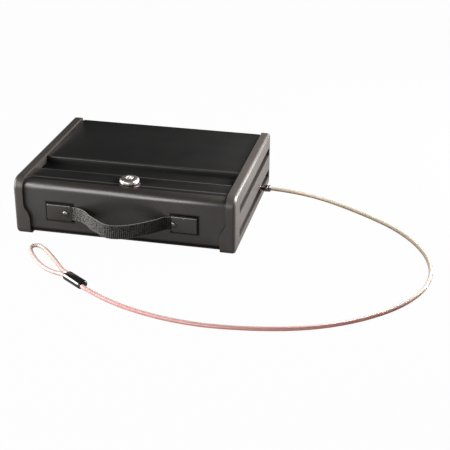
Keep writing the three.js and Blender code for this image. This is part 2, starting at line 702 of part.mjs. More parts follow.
// The turned terminal: a stop disc inside the safe, a shank, a neck and the ferrule that grips the cable
function cableAnchor() {
  const disc = PLATE_INNER - GAP;
  const tip = END + FERRULE_REACH;
  const f = FERRULE_RADIUS;
  return turnedX([
    [0, disc - 2.5],
    [STOP_DISC_RADIUS - 0.5, disc - 2.5],
    [STOP_DISC_RADIUS, disc - 2],
    [STOP_DISC_RADIUS, disc],
    [f, disc],
    [f, END - 1],
    [f - 0.5, END - 0.5],
    [NECK_RADIUS, END - 0.5],
    [NECK_RADIUS, END + 2.6],
    [f - 0.6, END + 2.6],
    [f, END + 3.2],
    [f, tip - 2],
    [f - 1, tip],
    [0, tip],
  ], 28).translate(0, ANCHOR_Y, ANCHOR_Z);
}

function tube(points, steps) {
  const path = new THREE.CatmullRomCurve3(points, false, "centripetal");
  const section = new THREE.Shape();
  for (let i = 0; i < CABLE_SIDES; i++) {
    const angle = (i / CABLE_SIDES) * Math.PI * 2;
    const x = (CABLE_DIAMETER / 2) * Math.cos(angle);
    const y = (CABLE_DIAMETER / 2) * Math.sin(angle);
    if (i === 0) section.moveTo(x, y);
    else section.lineTo(x, y);
  }
  return new THREE.ExtrudeGeometry(section, { extrudePath: path, steps, bevelEnabled: false });
}

const sleeveAxis = new THREE.Vector3(Math.cos(SLEEVE_ANGLE), Math.sin(SLEEVE_ANGLE), 0);
const sleeveAcross = new THREE.Vector3(-Math.sin(SLEEVE_ANGLE), Math.cos(SLEEVE_ANGLE), 0);
const legOffset = CABLE_DIAMETER / 2 + 0.35;

// A point on one of the two cables in the sleeve, a distance along its axis
function atSleeve(along, across) {
  return SLEEVE_NEAR.clone().addScaledVector(sleeveAxis, along).addScaledVector(sleeveAcross, across);
}

function cableRun() {
  const start = END + FERRULE_REACH + GAP;
  const points = [
    new THREE.Vector3(start, ANCHOR_Y, ANCHOR_Z),
    new THREE.Vector3(start + 5, ANCHOR_Y + 0.2, ANCHOR_Z - 0.1),
    ...CABLE_ROUTE.map(([x, y, z]) => new THREE.Vector3(x, y, z)),
    atSleeve(-GAP - 5, legOffset),
    atSleeve(-GAP, legOffset),
  ];
  return tube(points, RUN_STEPS);
}

function cableLoop() {
  const end = SLEEVE_LENGTH + GAP;
  const points = [
    atSleeve(end, legOffset * -1),
    atSleeve(end + 5, legOffset * -1.1),
    ...EYE_ROUTE.map(([x, y, z]) => new THREE.Vector3(x, y, z)),
    atSleeve(end + 5, legOffset * 1.1),
    atSleeve(end, legOffset),
  ];
  return tube(points, LOOP_STEPS);
}

// The crimped sleeve: an oval bar with rounded ends along its own X, turned into place
function loopSleeve() {
  const soft = 1.2;
  const section = (inset) => {
    const h = SLEEVE_HEIGHT / 2 - inset;
    const w = SLEEVE_WIDTH / 2 - inset;
    return rounded([[-w, -h, h * 0.96], [w, -h, h * 0.96], [w, h, h * 0.96], [-w, h, h * 0.96]], true, 5);
  };
  const rings = [
    [0, soft], [soft * 0.3, soft * 0.3], [soft, 0],
    [SLEEVE_LENGTH - soft, 0], [SLEEVE_LENGTH - soft * 0.3, soft * 0.3], [SLEEVE_LENGTH, soft],
  ].map(([x, inset]) => section(inset).map(([y, z]) => [x, y, z]));
  const bar = skin(rings);
  bar.rotateZ(SLEEVE_ANGLE);
  return bar.translate(SLEEVE_NEAR.x, SLEEVE_NEAR.y, SLEEVE_NEAR.z);
}

// Case
add("body_shell", bodyShell(), greyPaint);
add("end_plate_left", endPlate(-1), blackPaint);
add("end_plate_right", endPlate(1), blackPaint);
const cap = endCap();
add("end_cap_left", mirrored(cap), capPlastic);
add("end_cap_right", cut(cap, anchorHole()), capPlastic);

for (const side of [-1, 1]) {
  capScrewYs.forEach((y, i) => {
    const screw = add(`cap_screw_${side < 0 ? "left" : "right"}_${i + 1}`,
      panScrew(3.6, 2.2, HANDLE_SCREW_RADIUS, SHEET + CAP_SCREW_LENGTH + GAP), zincSteel);
    screw.rotation.y = (side * Math.PI) / 2;
    screw.position.set(side * (PLATE_INNER - GAP), y, CAP_SCREW_Z);
  });
}

add("floor_pad",
  box(-PLATE_INNER + 3 * GAP, PLATE_INNER - 3 * GAP, FRONT_INNER + 3, BACK_INNER - 3, FLOOR + GAP,
    FLOOR + GAP + FLOOR_PAD), foam);
add("strike_angle", strikeAngle(), zincSteel);
for (const side of [-1, 1]) {
  const height = FLANGE_BOTTOM - STRIKE_TOP - 2 * GAP;
  const bumper = add(`lid_bumper_${side < 0 ? "left" : "right"}`,
    turned([[0, 0], [BUMPER_RADIUS, 0], [BUMPER_RADIUS - 0.5, height], [0, height]], 20), rubber);
  bumper.position.set(LOCK_X + side * (STRIKE_WIDTH / 2 - 8), LID_FRONT + SHEET / 2, STRIKE_TOP + GAP);
}

// Hinge
const bodyLeaf = add("hinge_leaf_body", hingeLeaf(0, -KNUCKLE_RADIUS), blackPaint);
bodyLeaf.position.set(0, HINGE_Y, HINGE_Z);
const lidLeaf = add("hinge_leaf_lid", hingeLeaf(1, HINGE_Z - LID_UNDER + GAP), blackPaint);
lidLeaf.rotation.x = -Math.PI / 2;
lidLeaf.position.set(0, HINGE_Y, HINGE_Z);
add("hinge_pin", rodX(PIN_RADIUS, -HINGE_HALF, HINGE_HALF, 12).translate(0, HINGE_Y, HINGE_Z), zincSteel);

// Lid
add("lid_panel", lidPanel(), blackPaint);
add("lid_pad",
  box(-FLANGE_HALF + SHEET + 2, FLANGE_HALF - SHEET - 2, CHANNEL_BACK + SHEET + 4,
    HINGE_Y - LEAF_WIDTH - 2, LID_UNDER - GAP - LID_PAD, LID_UNDER - GAP), foam);

// Lock
const lock = new THREE.Group();
lock.position.set(LOCK_X, LOCK_Y, TOP);
safe.add(lock);
add("lock_housing", lockHousing(), chrome, lock);
const washerTop = -SHEET - STEP_HEIGHT - GAP;
add("lock_washer",
  cut(rod(LOCK_HEAD_RADIUS - 1.2, washerTop - WASHER, washerTop, 28),
    rod(LOCK_BARREL_RADIUS + GAP, -SHEET - 5, 0, 32)), zincSteel, lock);
const nutTop = washerTop - WASHER - GAP;
add("lock_nut",
  cut(prismZ(hexagon(NUT_WIDTH), nutTop - NUT_HEIGHT, nutTop),
    rod(LOCK_BARREL_RADIUS + GAP, nutTop - NUT_HEIGHT - 1, nutTop + 1, 32)), zincSteel, lock);
add("lock_plug", lockPlug(), chrome, lock);
const lockCamMesh = add("lock_cam", lockCam(), zincSteel, lock);
lockCamMesh.rotation.z = Math.PI;
lockCamMesh.position.z = CAM_TOP - CAM_THICKNESS - TOP;
const camScrew = add("cam_screw", panScrew(CAM_SCREW_HEAD, 2.6, CAM_SCREW_RADIUS, 6), zincSteel, lock);
camScrew.position.z = CAM_TOP - CAM_THICKNESS - GAP - TOP;

// Carry strap
add("handle_strap", handleStrap(), webbing);
for (const side of handleSides) {
  const word = side < 0 ? "left" : "right";
  add(`handle_plate_${word}`, handlePlate(side), greyPaint);
  const reach = FRONT_INNER + HANDLE_SCREW_INSIDE - PLATE_FRONT + GAP;
  const screw = add(`handle_screw_${word}`,
    panScrew(HANDLE_SCREW_HEAD, 2.6, HANDLE_SCREW_RADIUS, reach), blackZinc);
  screw.rotation.x = -Math.PI / 2;
  screw.position.set(handleScrewX(side), PLATE_FRONT - GAP, HANDLE_Z);
  const nut = add(`handle_nut_${word}`,
    cut(prismZ(hexagon(HANDLE_NUT_WIDTH), 0, HANDLE_NUT_HEIGHT),
      rod(HANDLE_SCREW_RADIUS + GAP, -1, HANDLE_NUT_HEIGHT + 1, 16)), zincSteel);
  nut.rotation.x = -Math.PI / 2;
  nut.position.set(handleScrewX(side), FRONT_INNER + GAP, HANDLE_Z);
}

// Security cable
add("cable_anchor", cableAnchor(), chrome);
add("cable_run", cableRun(), cableJacket);
add("loop_sleeve", loopSleeve(), sleeveBlack);
add("cable_loop", cableLoop(), cableJacket);

// The part's origin: on the ground below the middle of the safe with its strap
const strapReach = FRONT + Math.min(...STRAP_LINE.map(([, y]) => y)) - STRAP_THICKNESS / 2;
const part = new THREE.Group();
safe.position.y = -(strapReach + CASE_DEPTH / 2) / 2;
part.add(safe);

export default part;
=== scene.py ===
# %% [markdown]
# # A portable car safe
#
# The safe is a slim steel box: a tray folded from one sheet, a folded lid with a finger channel, and a
# moulded cap on each end. A cam lock sits in the lid, a webbing strap on the front, and a steel cable
# leaves the right end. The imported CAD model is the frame: it holds the sizes, places and joints. This
# script dresses it, piece by piece.

# %% Load the frame
import json
import math

import bmesh
import bpy
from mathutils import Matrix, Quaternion, Vector


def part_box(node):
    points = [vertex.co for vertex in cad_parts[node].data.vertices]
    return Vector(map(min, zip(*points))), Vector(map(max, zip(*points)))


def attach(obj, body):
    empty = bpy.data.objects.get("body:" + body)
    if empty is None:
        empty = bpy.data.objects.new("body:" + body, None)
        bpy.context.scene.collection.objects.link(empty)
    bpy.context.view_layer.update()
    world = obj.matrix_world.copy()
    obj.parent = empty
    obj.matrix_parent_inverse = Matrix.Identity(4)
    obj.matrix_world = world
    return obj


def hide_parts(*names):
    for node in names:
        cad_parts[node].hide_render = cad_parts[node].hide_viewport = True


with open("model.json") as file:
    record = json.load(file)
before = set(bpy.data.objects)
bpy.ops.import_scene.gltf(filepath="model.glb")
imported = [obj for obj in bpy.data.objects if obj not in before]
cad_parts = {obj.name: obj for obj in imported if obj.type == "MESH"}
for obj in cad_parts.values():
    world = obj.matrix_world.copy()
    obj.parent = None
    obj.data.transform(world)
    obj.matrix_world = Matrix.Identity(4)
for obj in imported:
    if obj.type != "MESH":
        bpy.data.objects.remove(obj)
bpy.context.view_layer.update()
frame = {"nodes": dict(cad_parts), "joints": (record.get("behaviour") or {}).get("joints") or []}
MM = 0.001

# %% [markdown]
# The CAD gives every piece's box, so places are read from it and not typed again. The origin lies on the
# ground below the middle of the safe with its strap, so the case itself is a little behind it. `CASE_Y` is
# that shift.

# %% Measure the frame
shell_low, shell_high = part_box("body_shell")
cap_low, cap_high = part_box("end_cap_right")
lid_low, lid_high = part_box("lid_panel")
GAP = 0.3 * MM
SHEET = 1.5 * MM
CASE_Y = (cap_low.y + cap_high.y) / 2
END = cap_high.x
joint_place = {joint["name"]: joint["pos_m"] for joint in frame["joints"]}
HINGE_Z = joint_place["lid_hinge"][2]
LOCK_X, LOCK_Y = joint_place["lock_turn"][:2]
print("case shift", round(CASE_Y, 4), "hinge height", HINGE_Z, "lock", LOCK_X, LOCK_Y)

# %% [markdown]
# The camera stands where the photographer's did: in front and a little to the right, looking down at about
# 25 degrees through a long lens. A long lens keeps the box's edges nearly parallel. The place was worked
# out from the box's corners in the photograph.

# %% Set up the camera
CAMERA_PLACE = Vector((422.7 * MM, -1413.7 * MM + CASE_Y, 673 * MM))
CAMERA_AZIMUTH = math.radians(12.36)
CAMERA_ELEVATION = math.radians(25.52)
CAMERA_ROLL = math.radians(0.33)
CAMERA_LENS = 88.7

bpy.ops.object.camera_add(location=CAMERA_PLACE)
camera = bpy.context.object
camera.name = "photo_camera"
camera.rotation_mode = "QUATERNION"
turn = Quaternion((0, 0, 1), CAMERA_AZIMUTH)
tilt = Quaternion((1, 0, 0), math.radians(90) - CAMERA_ELEVATION)
camera.rotation_quaternion = turn @ tilt @ Quaternion((0, 0, 1), CAMERA_ROLL)
camera.data.lens = CAMERA_LENS
camera.data.sensor_width = 36
camera.data.clip_end = 20
bpy.context.scene.camera = camera
print("camera at", [round(v, 3) for v in camera.location])

# %% [markdown]
# Most pieces are modelled the way one would by hand, so a few small helpers keep the cells short. An
# operator acts on everything that is selected, so each helper first deselects all and then takes hold of
# one piece.

# %% Helpers: take hold of a piece and pick parts of it
def let_go():
    if bpy.context.object and bpy.context.object.mode != "OBJECT":
        bpy.ops.object.mode_set(mode="OBJECT")
    bpy.ops.object.select_all(action="DESELECT")


def take(piece):
    let_go()
    bpy.context.view_layer.objects.active = piece
    piece.select_set(True)


def edit(piece, kind):
    take(piece)
    bpy.ops.object.mode_set(mode="EDIT")
    bpy.ops.mesh.select_mode(type=kind)
    bpy.ops.mesh.select_all(action="DESELECT")


def pick_edges(piece, test):
    edit(piece, "EDGE")
    mesh = bmesh.from_edit_mesh(piece.data)
    for edge in mesh.edges:
        if test(edge.verts[0].co, edge.verts[1].co):
            edge.select_set(True)
    bmesh.update_edit_mesh(piece.data)


def pick_faces(piece, test):
    edit(piece, "FACE")
    mesh = bmesh.from_edit_mesh(piece.data)
    for face in mesh.faces:
        if test(face.normal):
            face.select_set(True)
    bmesh.update_edit_mesh(piece.data)


def near(value, target):
    return abs(value - target) < 0.01 * MM


# %% [markdown]
# Two kinds of work come up again and again. A modifier is added and applied at once, so its result is real
# mesh. And a hard edge on a real product is never sharp, so a fine bevel and shading by angle finish each
# rigid piece.

# %% Helpers: modifiers, edges and shading
def apply(piece, kind, **settings):
    take(piece)
    modifier = piece.modifiers.new(kind.lower(), kind)
    for name, value in settings.items():
        setattr(modifier, name, value)
    bpy.ops.object.modifier_apply(modifier=modifier.name)


def shade_smooth(piece, degrees):
    take(piece)
    bpy.ops.object.shade_smooth_by_angle(angle=math.radians(degrees))


HARD_EDGE = math.radians(32)


def soften(piece, width=0.25 * MM, segments=2):
    apply(piece, "BEVEL", width=width, segments=segments, limit_method="ANGLE",
          angle_limit=HARD_EDGE, harden_normals=False, use_clamp_overlap=True)
    shade_smooth(piece, 35)


def cut(piece, *tools, operation="DIFFERENCE"):
    for tool in tools:
        apply(piece, "BOOLEAN", object=tool, operation=operation, solver="EXACT", use_self=True)
        bpy.data.objects.remove(tool, do_unlink=True)


def block(name, low, high):
    let_go()
    bpy.ops.mesh.primitive_cube_add(size=1)
    piece = bpy.context.object
    piece.name = name
    piece.scale = [b - a for a, b in zip(low, high)]
    piece.location = [(a + b) / 2 for a, b in zip(low, high)]
    bpy.ops.object.transform_apply(location=True, rotation=True, scale=True)
    return piece


def join(piece, *others):
    take(piece)
    for other in others:
        other.select_set(True)
    bpy.ops.object.join()


# %% [markdown]
# Folded sheet is drawn as one strip: a first plane, then one extrude for each fold. The folds are then
# rounded with a bevel, and a Solidify modifier gives the strip its thickness. The bevel's width is the
# tangent length of the bend, so a shallow fold and a square one can share one bend radius.

# %% Helpers: folded sheet
def ribbon(name, path, low, high):
    let_go()
    bpy.ops.mesh.primitive_plane_add(size=1)
    piece = bpy.context.object
    piece.name = name
    starts = [(x, *point) for point in path[:2] for x in (low, high)]
    for vertex, place in zip(piece.data.vertices, starts):
        vertex.co = place
    pick_edges(piece, lambda a, b: all(near(p.y, path[1][0]) and near(p.z, path[1][1]) for p in (a, b)))
    for before, after in zip(path[1:], path[2:]):
        step = (0, after[0] - before[0], after[1] - before[1])
        bpy.ops.mesh.extrude_region_move(TRANSFORM_OT_translate={"value": step})
    let_go()
    return piece


def bend(piece, path, index, radius, segments):
    before, here, after = (Vector(path[i]) for i in (index - 1, index, index + 1))
    turning = (here - before).angle(after - here)
    pick_edges(piece, lambda a, b: all(near(p.y, here.x) and near(p.z, here.y) for p in (a, b)))
    bpy.ops.mesh.bevel(offset=radius * math.tan(turning / 2), segments=segments, affect="EDGES",
                       clamp_overlap=False)
    let_go()


def face_towards(piece, direction):
    edit(piece, "FACE")
    bpy.ops.mesh.select_all(action="SELECT")
    bpy.ops.mesh.normals_make_consistent(inside=False)
    let_go()
    facing = sum(face.area * face.normal.dot(Vector(direction)) for face in piece.data.polygons)
    if facing < 0:
        edit(piece, "FACE")
        bpy.ops.mesh.select_all(action="SELECT")
        bpy.ops.mesh.flip_normals()
        let_go()


def thicken(piece):
    apply(piece, "SOLIDIFY", thickness=SHEET, offset=-1, use_even_offset=True)


# %% [markdown]
# Round hardware is turned, as on a lathe. A single point is extruded along the profile, and Spin sweeps
# that line about the axis. A spin can come out inside out, so its doubles are merged and its normals
# recalculated.

# %% Helpers: turned pieces
def turned(name, profile, place, steps, axis="Z"):
    let_go()
    bpy.ops.mesh.primitive_plane_add(size=MM)
    piece = bpy.context.object
    piece.name = name
    edit(piece, "VERT")
    bpy.ops.mesh.select_all(action="SELECT")
    bpy.ops.mesh.merge(type="CENTER")
    points = [Vector((radius, 0, height)) for radius, height in profile]
    bpy.ops.transform.translate(value=points[0])
    for before, after in zip(points, points[1:]):
        bpy.ops.mesh.extrude_vertices_move(TRANSFORM_OT_translate={"value": after - before})
    bpy.ops.mesh.select_all(action="SELECT")
    bpy.ops.mesh.spin(steps=steps, angle=math.tau, center=(0, 0, 0), axis=(0, 0, 1))
    bpy.ops.mesh.select_all(action="SELECT")
    bpy.ops.mesh.remove_doubles(threshold=0.001 * MM)
    bpy.ops.mesh.normals_make_consistent(inside=False)
    take(piece)
    turns = {"X": (0, math.pi / 2, 0), "-Y": (math.pi / 2, 0, 0), "Z": (0, 0, 0)}
    piece.rotation_euler = turns[axis]
    piece.location = place
    bpy.ops.object.transform_apply(location=True, rotation=True, scale=True)
    return piece


def dress(piece, body, slot, material, *nodes):
    piece.data.materials.clear()
    piece.data.materials.append(material)
    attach(piece, body)
    if nodes:
        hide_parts(*nodes)
    print(piece.name, len(piece.data.polygons), "faces")
    return piece


# %% [markdown]
# ## Finishes
#
# Each finish is a small set of nodes: one shader, and noise or waves on Object coordinates for the grain,
# the colour variation and the wear. A value that is the same all over is set on the shader itself.

# %% Helpers: node finishes
def new_finish(name, colour, roughness, metallic=0.0, **sockets):
    material = bpy.data.materials.new(name)
    material.use_nodes = True
    tree = material.node_tree
    shader = tree.nodes["Principled BSDF"]
    shader.inputs["Base Color"].default_value = (*colour, 1)
    shader.inputs["Roughness"].default_value = roughness
    shader.inputs["Metallic"].default_value = metallic
    for socket, value in sockets.items():
        shader.inputs[socket.replace("_", " ")].default_value = value
    return material, tree, shader


def add(tree, kind, inputs=None, **settings):
    node = tree.nodes.new("ShaderNode" + kind)
    for name, value in settings.items():
        setattr(node, name, value)
    for name, value in (inputs or {}).items():
        node.inputs[name].default_value = value
    return node


def grain(tree, scale, detail=3.0, stretch=(1, 1, 1)):
    coords = add(tree, "TexCoord")
    mapping = add(tree, "Mapping", {"Scale": stretch})
    noise = add(tree, "TexNoise", {"Scale": scale, "Detail": detail})
    tree.links.new(coords.outputs["Object"], mapping.inputs["Vector"])
    tree.links.new(mapping.outputs["Vector"], noise.inputs["Vector"])
    return noise.outputs["Fac"]


def spread(tree, value, low, high, start=0.35, end=0.65):
    ranged = add(tree, "MapRange", {"From Min": start, "From Max": end, "To Min": low, "To Max": high})
    tree.links.new(value, ranged.inputs["Value"])
    return ranged.outputs["Result"]


def blend_colours(tree, value, first, second, start=0.3, end=0.7):
    ramp = add(tree, "ValToRGB")
    ramp.color_ramp.elements[0].position = start
    ramp.color_ramp.elements[0].color = (*first, 1)
    ramp.color_ramp.elements[1].position = end
    ramp.color_ramp.elements[1].color = (*second, 1)
    tree.links.new(value, ramp.inputs["Fac"])
    return ramp.outputs["Color"]


# %% [markdown]
# Some marks of painted light and shade sit at a place on a piece: painted shade along the tray's foot, a
# painted highlight along a fold, a painted shadow round a plate. The next helpers read one coordinate, do
# sums on it, and turn the result into a share of light that the colour is multiplied by.
# Such a mark stays on its piece in every pose, because it is measured on the piece's own coordinates.

# %% Helpers: marks at a place
def calc(tree, operation, *values):
    node = add(tree, "Math", operation=operation)
    for socket, value in zip(node.inputs, values):
        if isinstance(value, bpy.types.NodeSocket):
            tree.links.new(value, socket)
        else:
            socket.default_value = value
    return node.outputs[0]


def place_on(tree, axis, source="Object"):
    coords = add(tree, "TexCoord")
    places = add(tree, "SeparateXYZ")
    tree.links.new(coords.outputs[source], places.inputs["Vector"])
    return places.outputs[axis]


def shade_bands(tree, value, stops):
    low, high = stops[0][0], stops[-1][0]
    ramp = add(tree, "ValToRGB")
    for place, _ in stops[1:-1]:
        ramp.color_ramp.elements.new((place - low) / (high - low))
    for element, (_, share) in zip(ramp.color_ramp.elements, stops):
        element.color = (share, share, share, 1)
    tree.links.new(spread(tree, value, 0, 1, low, high), ramp.inputs["Fac"])
    return ramp.outputs["Color"]


def multiply(tree, first, second):
    mix = add(tree, "Mix", {0: 1.0}, data_type="RGBA", blend_type="MULTIPLY")
    tree.links.new(first, mix.inputs["A"])
    tree.links.new(second, mix.inputs["B"])
    return mix.outputs["Result"]


def darken(tree, mask):
    shader = tree.nodes["Principled BSDF"]
    for socket in (shader.inputs["Base Color"], shader.inputs["Specular IOR Level"]):
        if socket.links:
            tree.links.new(multiply(tree, socket.links[0].from_socket, mask), socket)
        else:
            tree.links.new(calc(tree, "MULTIPLY", mask, socket.default_value), socket)


def bump(tree, shader, height, distance):
    node = add(tree, "Bump", {"Distance": distance})
    tree.links.new(height, node.inputs["Height"])
    tree.links.new(node.outputs["Normal"], shader.inputs["Normal"])


# %% [markdown]
# The lid is powder-coated black, smooth enough to stay dark, with the fine orange peel that powder leaves.
# The tray is a satin charcoal with a warm cast and the strongest gloss. The caps are moulded in nearly the
# same colour, with a fine spark texture. Two near colours are blended by a slow noise, so no face is
# perfectly even.

# %% Painted steel and moulded plastic
def coated(name, dark, light, roughness, peel, depth, gloss=0.5):
    material, tree, shader = new_finish(name, dark, roughness, Specular_IOR_Level=gloss)
    cloud = grain(tree, 30, 4)
    tree.links.new(blend_colours(tree, cloud, dark, light), shader.inputs["Base Color"])
    tree.links.new(spread(tree, grain(tree, 90, 4), roughness - 0.01, roughness + 0.01),
                   shader.inputs["Roughness"])
    bump(tree, shader, grain(tree, peel, 2), depth)
    return material


lid_paint = coated("lid_paint", (0.005, 0.005, 0.005), (0.007, 0.007, 0.007), 0.28, 1800, 0.003 * MM)
body_paint = coated("body_paint", (0.014, 0.012, 0.011), (0.018, 0.016, 0.0145), 0.30, 1600, 0.0004 * MM, 1.0)
cap_plastic = coated("cap_plastic", (0.030, 0.026, 0.024), (0.036, 0.032, 0.029), 0.42, 2600, 0.008 * MM)
print("painted", [m.name for m in (lid_paint, body_paint, cap_plastic)])

# %% [markdown]
# The lock's head is satin chrome, and its plug is a brighter one. The cable's terminal is dark nickel. The
# hidden hardware is zinc plated: duller, faintly streaked along the way it was drawn. The strap's screws
# are blackened. Each metal is a full metal with its tint as colour, and a stretched noise varies its
# roughness.

# %% Bare and plated metal
def plated(name, colour, roughness, stretch, scale, streak):
    material, tree, shader = new_finish(name, colour, roughness, metallic=1.0)
    lines = grain(tree, scale, 3, stretch)
    tree.links.new(spread(tree, lines, roughness * (1 - streak), roughness * (1 + streak)),
                   shader.inputs["Roughness"])
    darker = tuple(c * (1 - streak / 3) for c in colour)
    tree.links.new(blend_colours(tree, lines, darker, colour), shader.inputs["Base Color"])
    return material


chrome = plated("chrome", (0.50, 0.455, 0.445), 0.38, (1, 1, 1), 400, 0.2)
satin_chrome = plated("satin_chrome", (0.92, 0.89, 0.87), 0.45, (1, 1, 1), 400, 0.2)
zinc = plated("zinc", (0.58, 0.58, 0.57), 0.34, (0.05, 1, 1), 900, 0.3)
black_zinc = plated("black_zinc", (0.13, 0.125, 0.12), 0.30, (1, 1, 1), 500, 0.2)
nickel = plated("nickel", (0.14, 0.12, 0.115), 0.16, (1, 1, 1), 500, 0.2)
print("metals", [m.name for m in (chrome, satin_chrome, zinc, black_zinc, nickel)])

# %% [markdown]
# The soft materials are a dark foam with open cells and black rubber, and the sleeve on the cable is a
# glossy black plastic. All three get their small unevenness from noise in a Bump node, which costs no
# faces.

# %% Foam, rubber and the sleeve's plastic
foam, tree, shader = new_finish("foam", (0.018, 0.018, 0.020), 0.95, Sheen_Weight=0.15)
cells = grain(tree, 700, 5)
tree.links.new(blend_colours(tree, cells, (0.010, 0.010, 0.011), (0.030, 0.030, 0.033)),
               shader.inputs["Base Color"])
bump(tree, shader, cells, 0.4 * MM)

rubber, tree, shader = new_finish("rubber", (0.015, 0.015, 0.015), 0.7)
bump(tree, shader, grain(tree, 1200), 0.02 * MM)

sleeve_black, tree, shader = new_finish("sleeve_black", (0.006, 0.006, 0.006), 0.12, Coat_Weight=0.5)
bump(tree, shader, grain(tree, 260), 0.05 * MM)
print("soft and glossy", foam.name, rubber.name, sleeve_black.name)

# %% [markdown]
# ## The security cable
#
# The cable is a steel rope in a half-clear vinyl jacket. It leaves the ferrule level, sags to the ground
# within 150 mm, runs round in one wide curve and ends in an eye, crimped in a black sleeve. The photograph
# shows its whole length, so the route is drawn point by point on the ground, and a spline smooths it.

# %% The cable's route
CABLE_DIAMETER = 5.5 * MM
SLEEVE_LENGTH = 38 * MM
FERRULE_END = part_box("cable_anchor")[1].x
ANCHOR_Y = CASE_Y + 58 * MM
ANCHOR_Z = 20.2 * MM
CABLE_ROUTE = [
    (188.7, 58.4, 19.2), (211.5, 59.2, 16.7), (234.2, 59.3, 13.1), (257.6, 56, 9.3), (281.3, 48.7, 6.1),
    (303.7, 37.8, 4.1), (327.3, 22.8, 3), (351.8, 2.3, 2.8), (374.1, -23.3, 2.8), (393.1, -53.8, 2.8),
    (406.6, -89.3, 2.8), (411.6, -127.9, 2.8), (405.9, -166.3, 2.8), (391.2, -200.1, 2.8),
    (372.2, -227.1, 2.8), (349.7, -249.8, 2.8), (324.4, -269.4, 2.8), (295, -286.4, 2.8),
    (261.6, -299.6, 2.8), (226.6, -308.2, 2.8), (191, -313.5, 2.8), (155.2, -315.6, 2.8),
    (119.4, -312.9, 2.8), (84.1, -305.6, 2.8), (50, -294.2, 2.8), (21.1, -280.4, 2.8), (6.5, -272.6, 3.6),
]
EYE_ROUTE = [
    (-53.3, -221.5, 3.4), (-65.5, -205.7, 2.8), (-78.3, -190.4, 2.8), (-91, -175.9, 2.8),
    (-100.8, -166.4, 2.8), (-109.3, -161.8, 2.8), (-115.4, -163.6, 2.8), (-116.2, -171, 2.8),
    (-112.2, -180.4, 2.8),
    (-105.6, -190.6, 2.8), (-97, -201.5, 2.8), (-87.6, -212, 2.8), (-76, -221.6, 2.8), (-64, -228.6, 3),
    (-56, -232.2, 3.7),
]
SLEEVE_NEAR = Vector((-11.2 * MM, -259 * MM + CASE_Y, 5 * MM))
SLEEVE_ANGLE = math.radians(144)
sleeve_axis = Vector((math.cos(SLEEVE_ANGLE), math.sin(SLEEVE_ANGLE), 0))
sleeve_across = Vector((-sleeve_axis.y, sleeve_axis.x, 0))
LEG_OFFSET = CABLE_DIAMETER / 2 + 0.35 * MM


def on_ground(points):
    return [Vector((x * MM, y * MM + CASE_Y, z * MM)) for x, y, z in points]


def at_sleeve(along, across):
    return SLEEVE_NEAR + sleeve_axis * along + sleeve_across * across


# %% [markdown]
# A centripetal spline passes through every point without loops or overshoot. The CAD draws the same one, so
# the visible cable lies exactly where the solid one does.

# %% Smooth the route
def smooth(points, spacing):
    ends = [points[0] * 2 - points[1], *points, points[-1] * 2 - points[-2]]
    line = []
    for p0, p1, p2, p3 in zip(ends, ends[1:], ends[2:], ends[3:]):
        t1 = (p1 - p0).length ** 0.5
        t2 = t1 + (p2 - p1).length ** 0.5
        t3 = t2 + (p3 - p2).length ** 0.5
        steps = max(2, round((p2 - p1).length / spacing))
        for step in range(steps):
            t = t1 + (t2 - t1) * step / steps
            a1 = p0.lerp(p1, t / t1)
            a2 = p1.lerp(p2, (t - t1) / (t2 - t1))
            a3 = p2.lerp(p3, (t - t2) / (t3 - t2))
            b1 = a1.lerp(a2, t / t2)
            b2 = a2.lerp(a3, (t - t1) / (t3 - t1))
            line.append(b1.lerp(b2, (t - t1) / (t2 - t1)))
    return [*line, points[-1].copy()]


def length_of(line):
    return sum((b - a).length for a, b in zip(line, line[1:]))


STRAIGHT = 5 * MM
SPLAY = 1.1
JACKET_STEP = 2 * MM
cable_start = Vector((FERRULE_END + GAP, ANCHOR_Y, ANCHOR_Z))
run_points = [
    cable_start,
    cable_start + Vector((STRAIGHT, 0.2 * MM, -0.1 * MM)),
    *on_ground(CABLE_ROUTE),
    at_sleeve(-GAP - STRAIGHT, LEG_OFFSET),
    at_sleeve(-GAP, LEG_OFFSET),
]
eye_end = SLEEVE_LENGTH + GAP
eye_points = [
    at_sleeve(eye_end, -LEG_OFFSET),
    at_sleeve(eye_end + STRAIGHT, -SPLAY * LEG_OFFSET),
    *on_ground(EYE_ROUTE),
    at_sleeve(eye_end + STRAIGHT, SPLAY * LEG_OFFSET),
    at_sleeve(eye_end, LEG_OFFSET),
]
run_line = smooth(run_points, JACKET_STEP)
eye_line = smooth(eye_points, JACKET_STEP)
print("cable", round(length_of(run_line), 3), "m, eye", round(length_of(eye_line), 3), "m")

# %% [markdown]
# The jacket is a plain round tube swept along the route. The rope inside is a six-lobed section that turns
# as it goes, which is what a stranded rope's surface does. Both are swept ring by ring instead of by a
# bevelled curve, because only so can the section twist with the length travelled.

# %% Sweep a section along the route
def sweep(name, line, section):
    piece = bpy.data.objects.new(name, bpy.data.meshes.new(name))
    bpy.context.collection.objects.link(piece)
    mesh = bmesh.new()
    travelled = 0.0
    side = Vector((0, 0, 1))
    rings = []
    for i, point in enumerate(line):
        ahead = line[min(i + 1, len(line) - 1)] - line[max(i - 1, 0)]
        across = ahead.cross(side).normalized()
        lift = across.cross(ahead).normalized()
        travelled += (point - line[i - 1]).length if i else 0
        rings.append([mesh.verts.new(point + across * a + lift * b) for a, b in section(travelled)])
    for ring, following in zip(rings, rings[1:]):
        for i in range(len(ring)):
            j = (i + 1) % len(ring)
            mesh.faces.new((ring[i], ring[j], following[j], following[i]))
    mesh.faces.new(rings[0][::-1])
    mesh.faces.new(rings[-1])
    bmesh.ops.recalc_face_normals(mesh, faces=mesh.faces)
    mesh.to_mesh(piece.data)
    mesh.free()
    shade_smooth(piece, 50)
    return piece


JACKET_SIDES = 20
ROPE_RADIUS = 1.75 * MM
ROPE_GROOVE = 0.14
ROPE_LAY = 20 * MM
ROPE_STRANDS = 6
ROPE_SIDES = 30
ROPE_STEP = 1.2 * MM


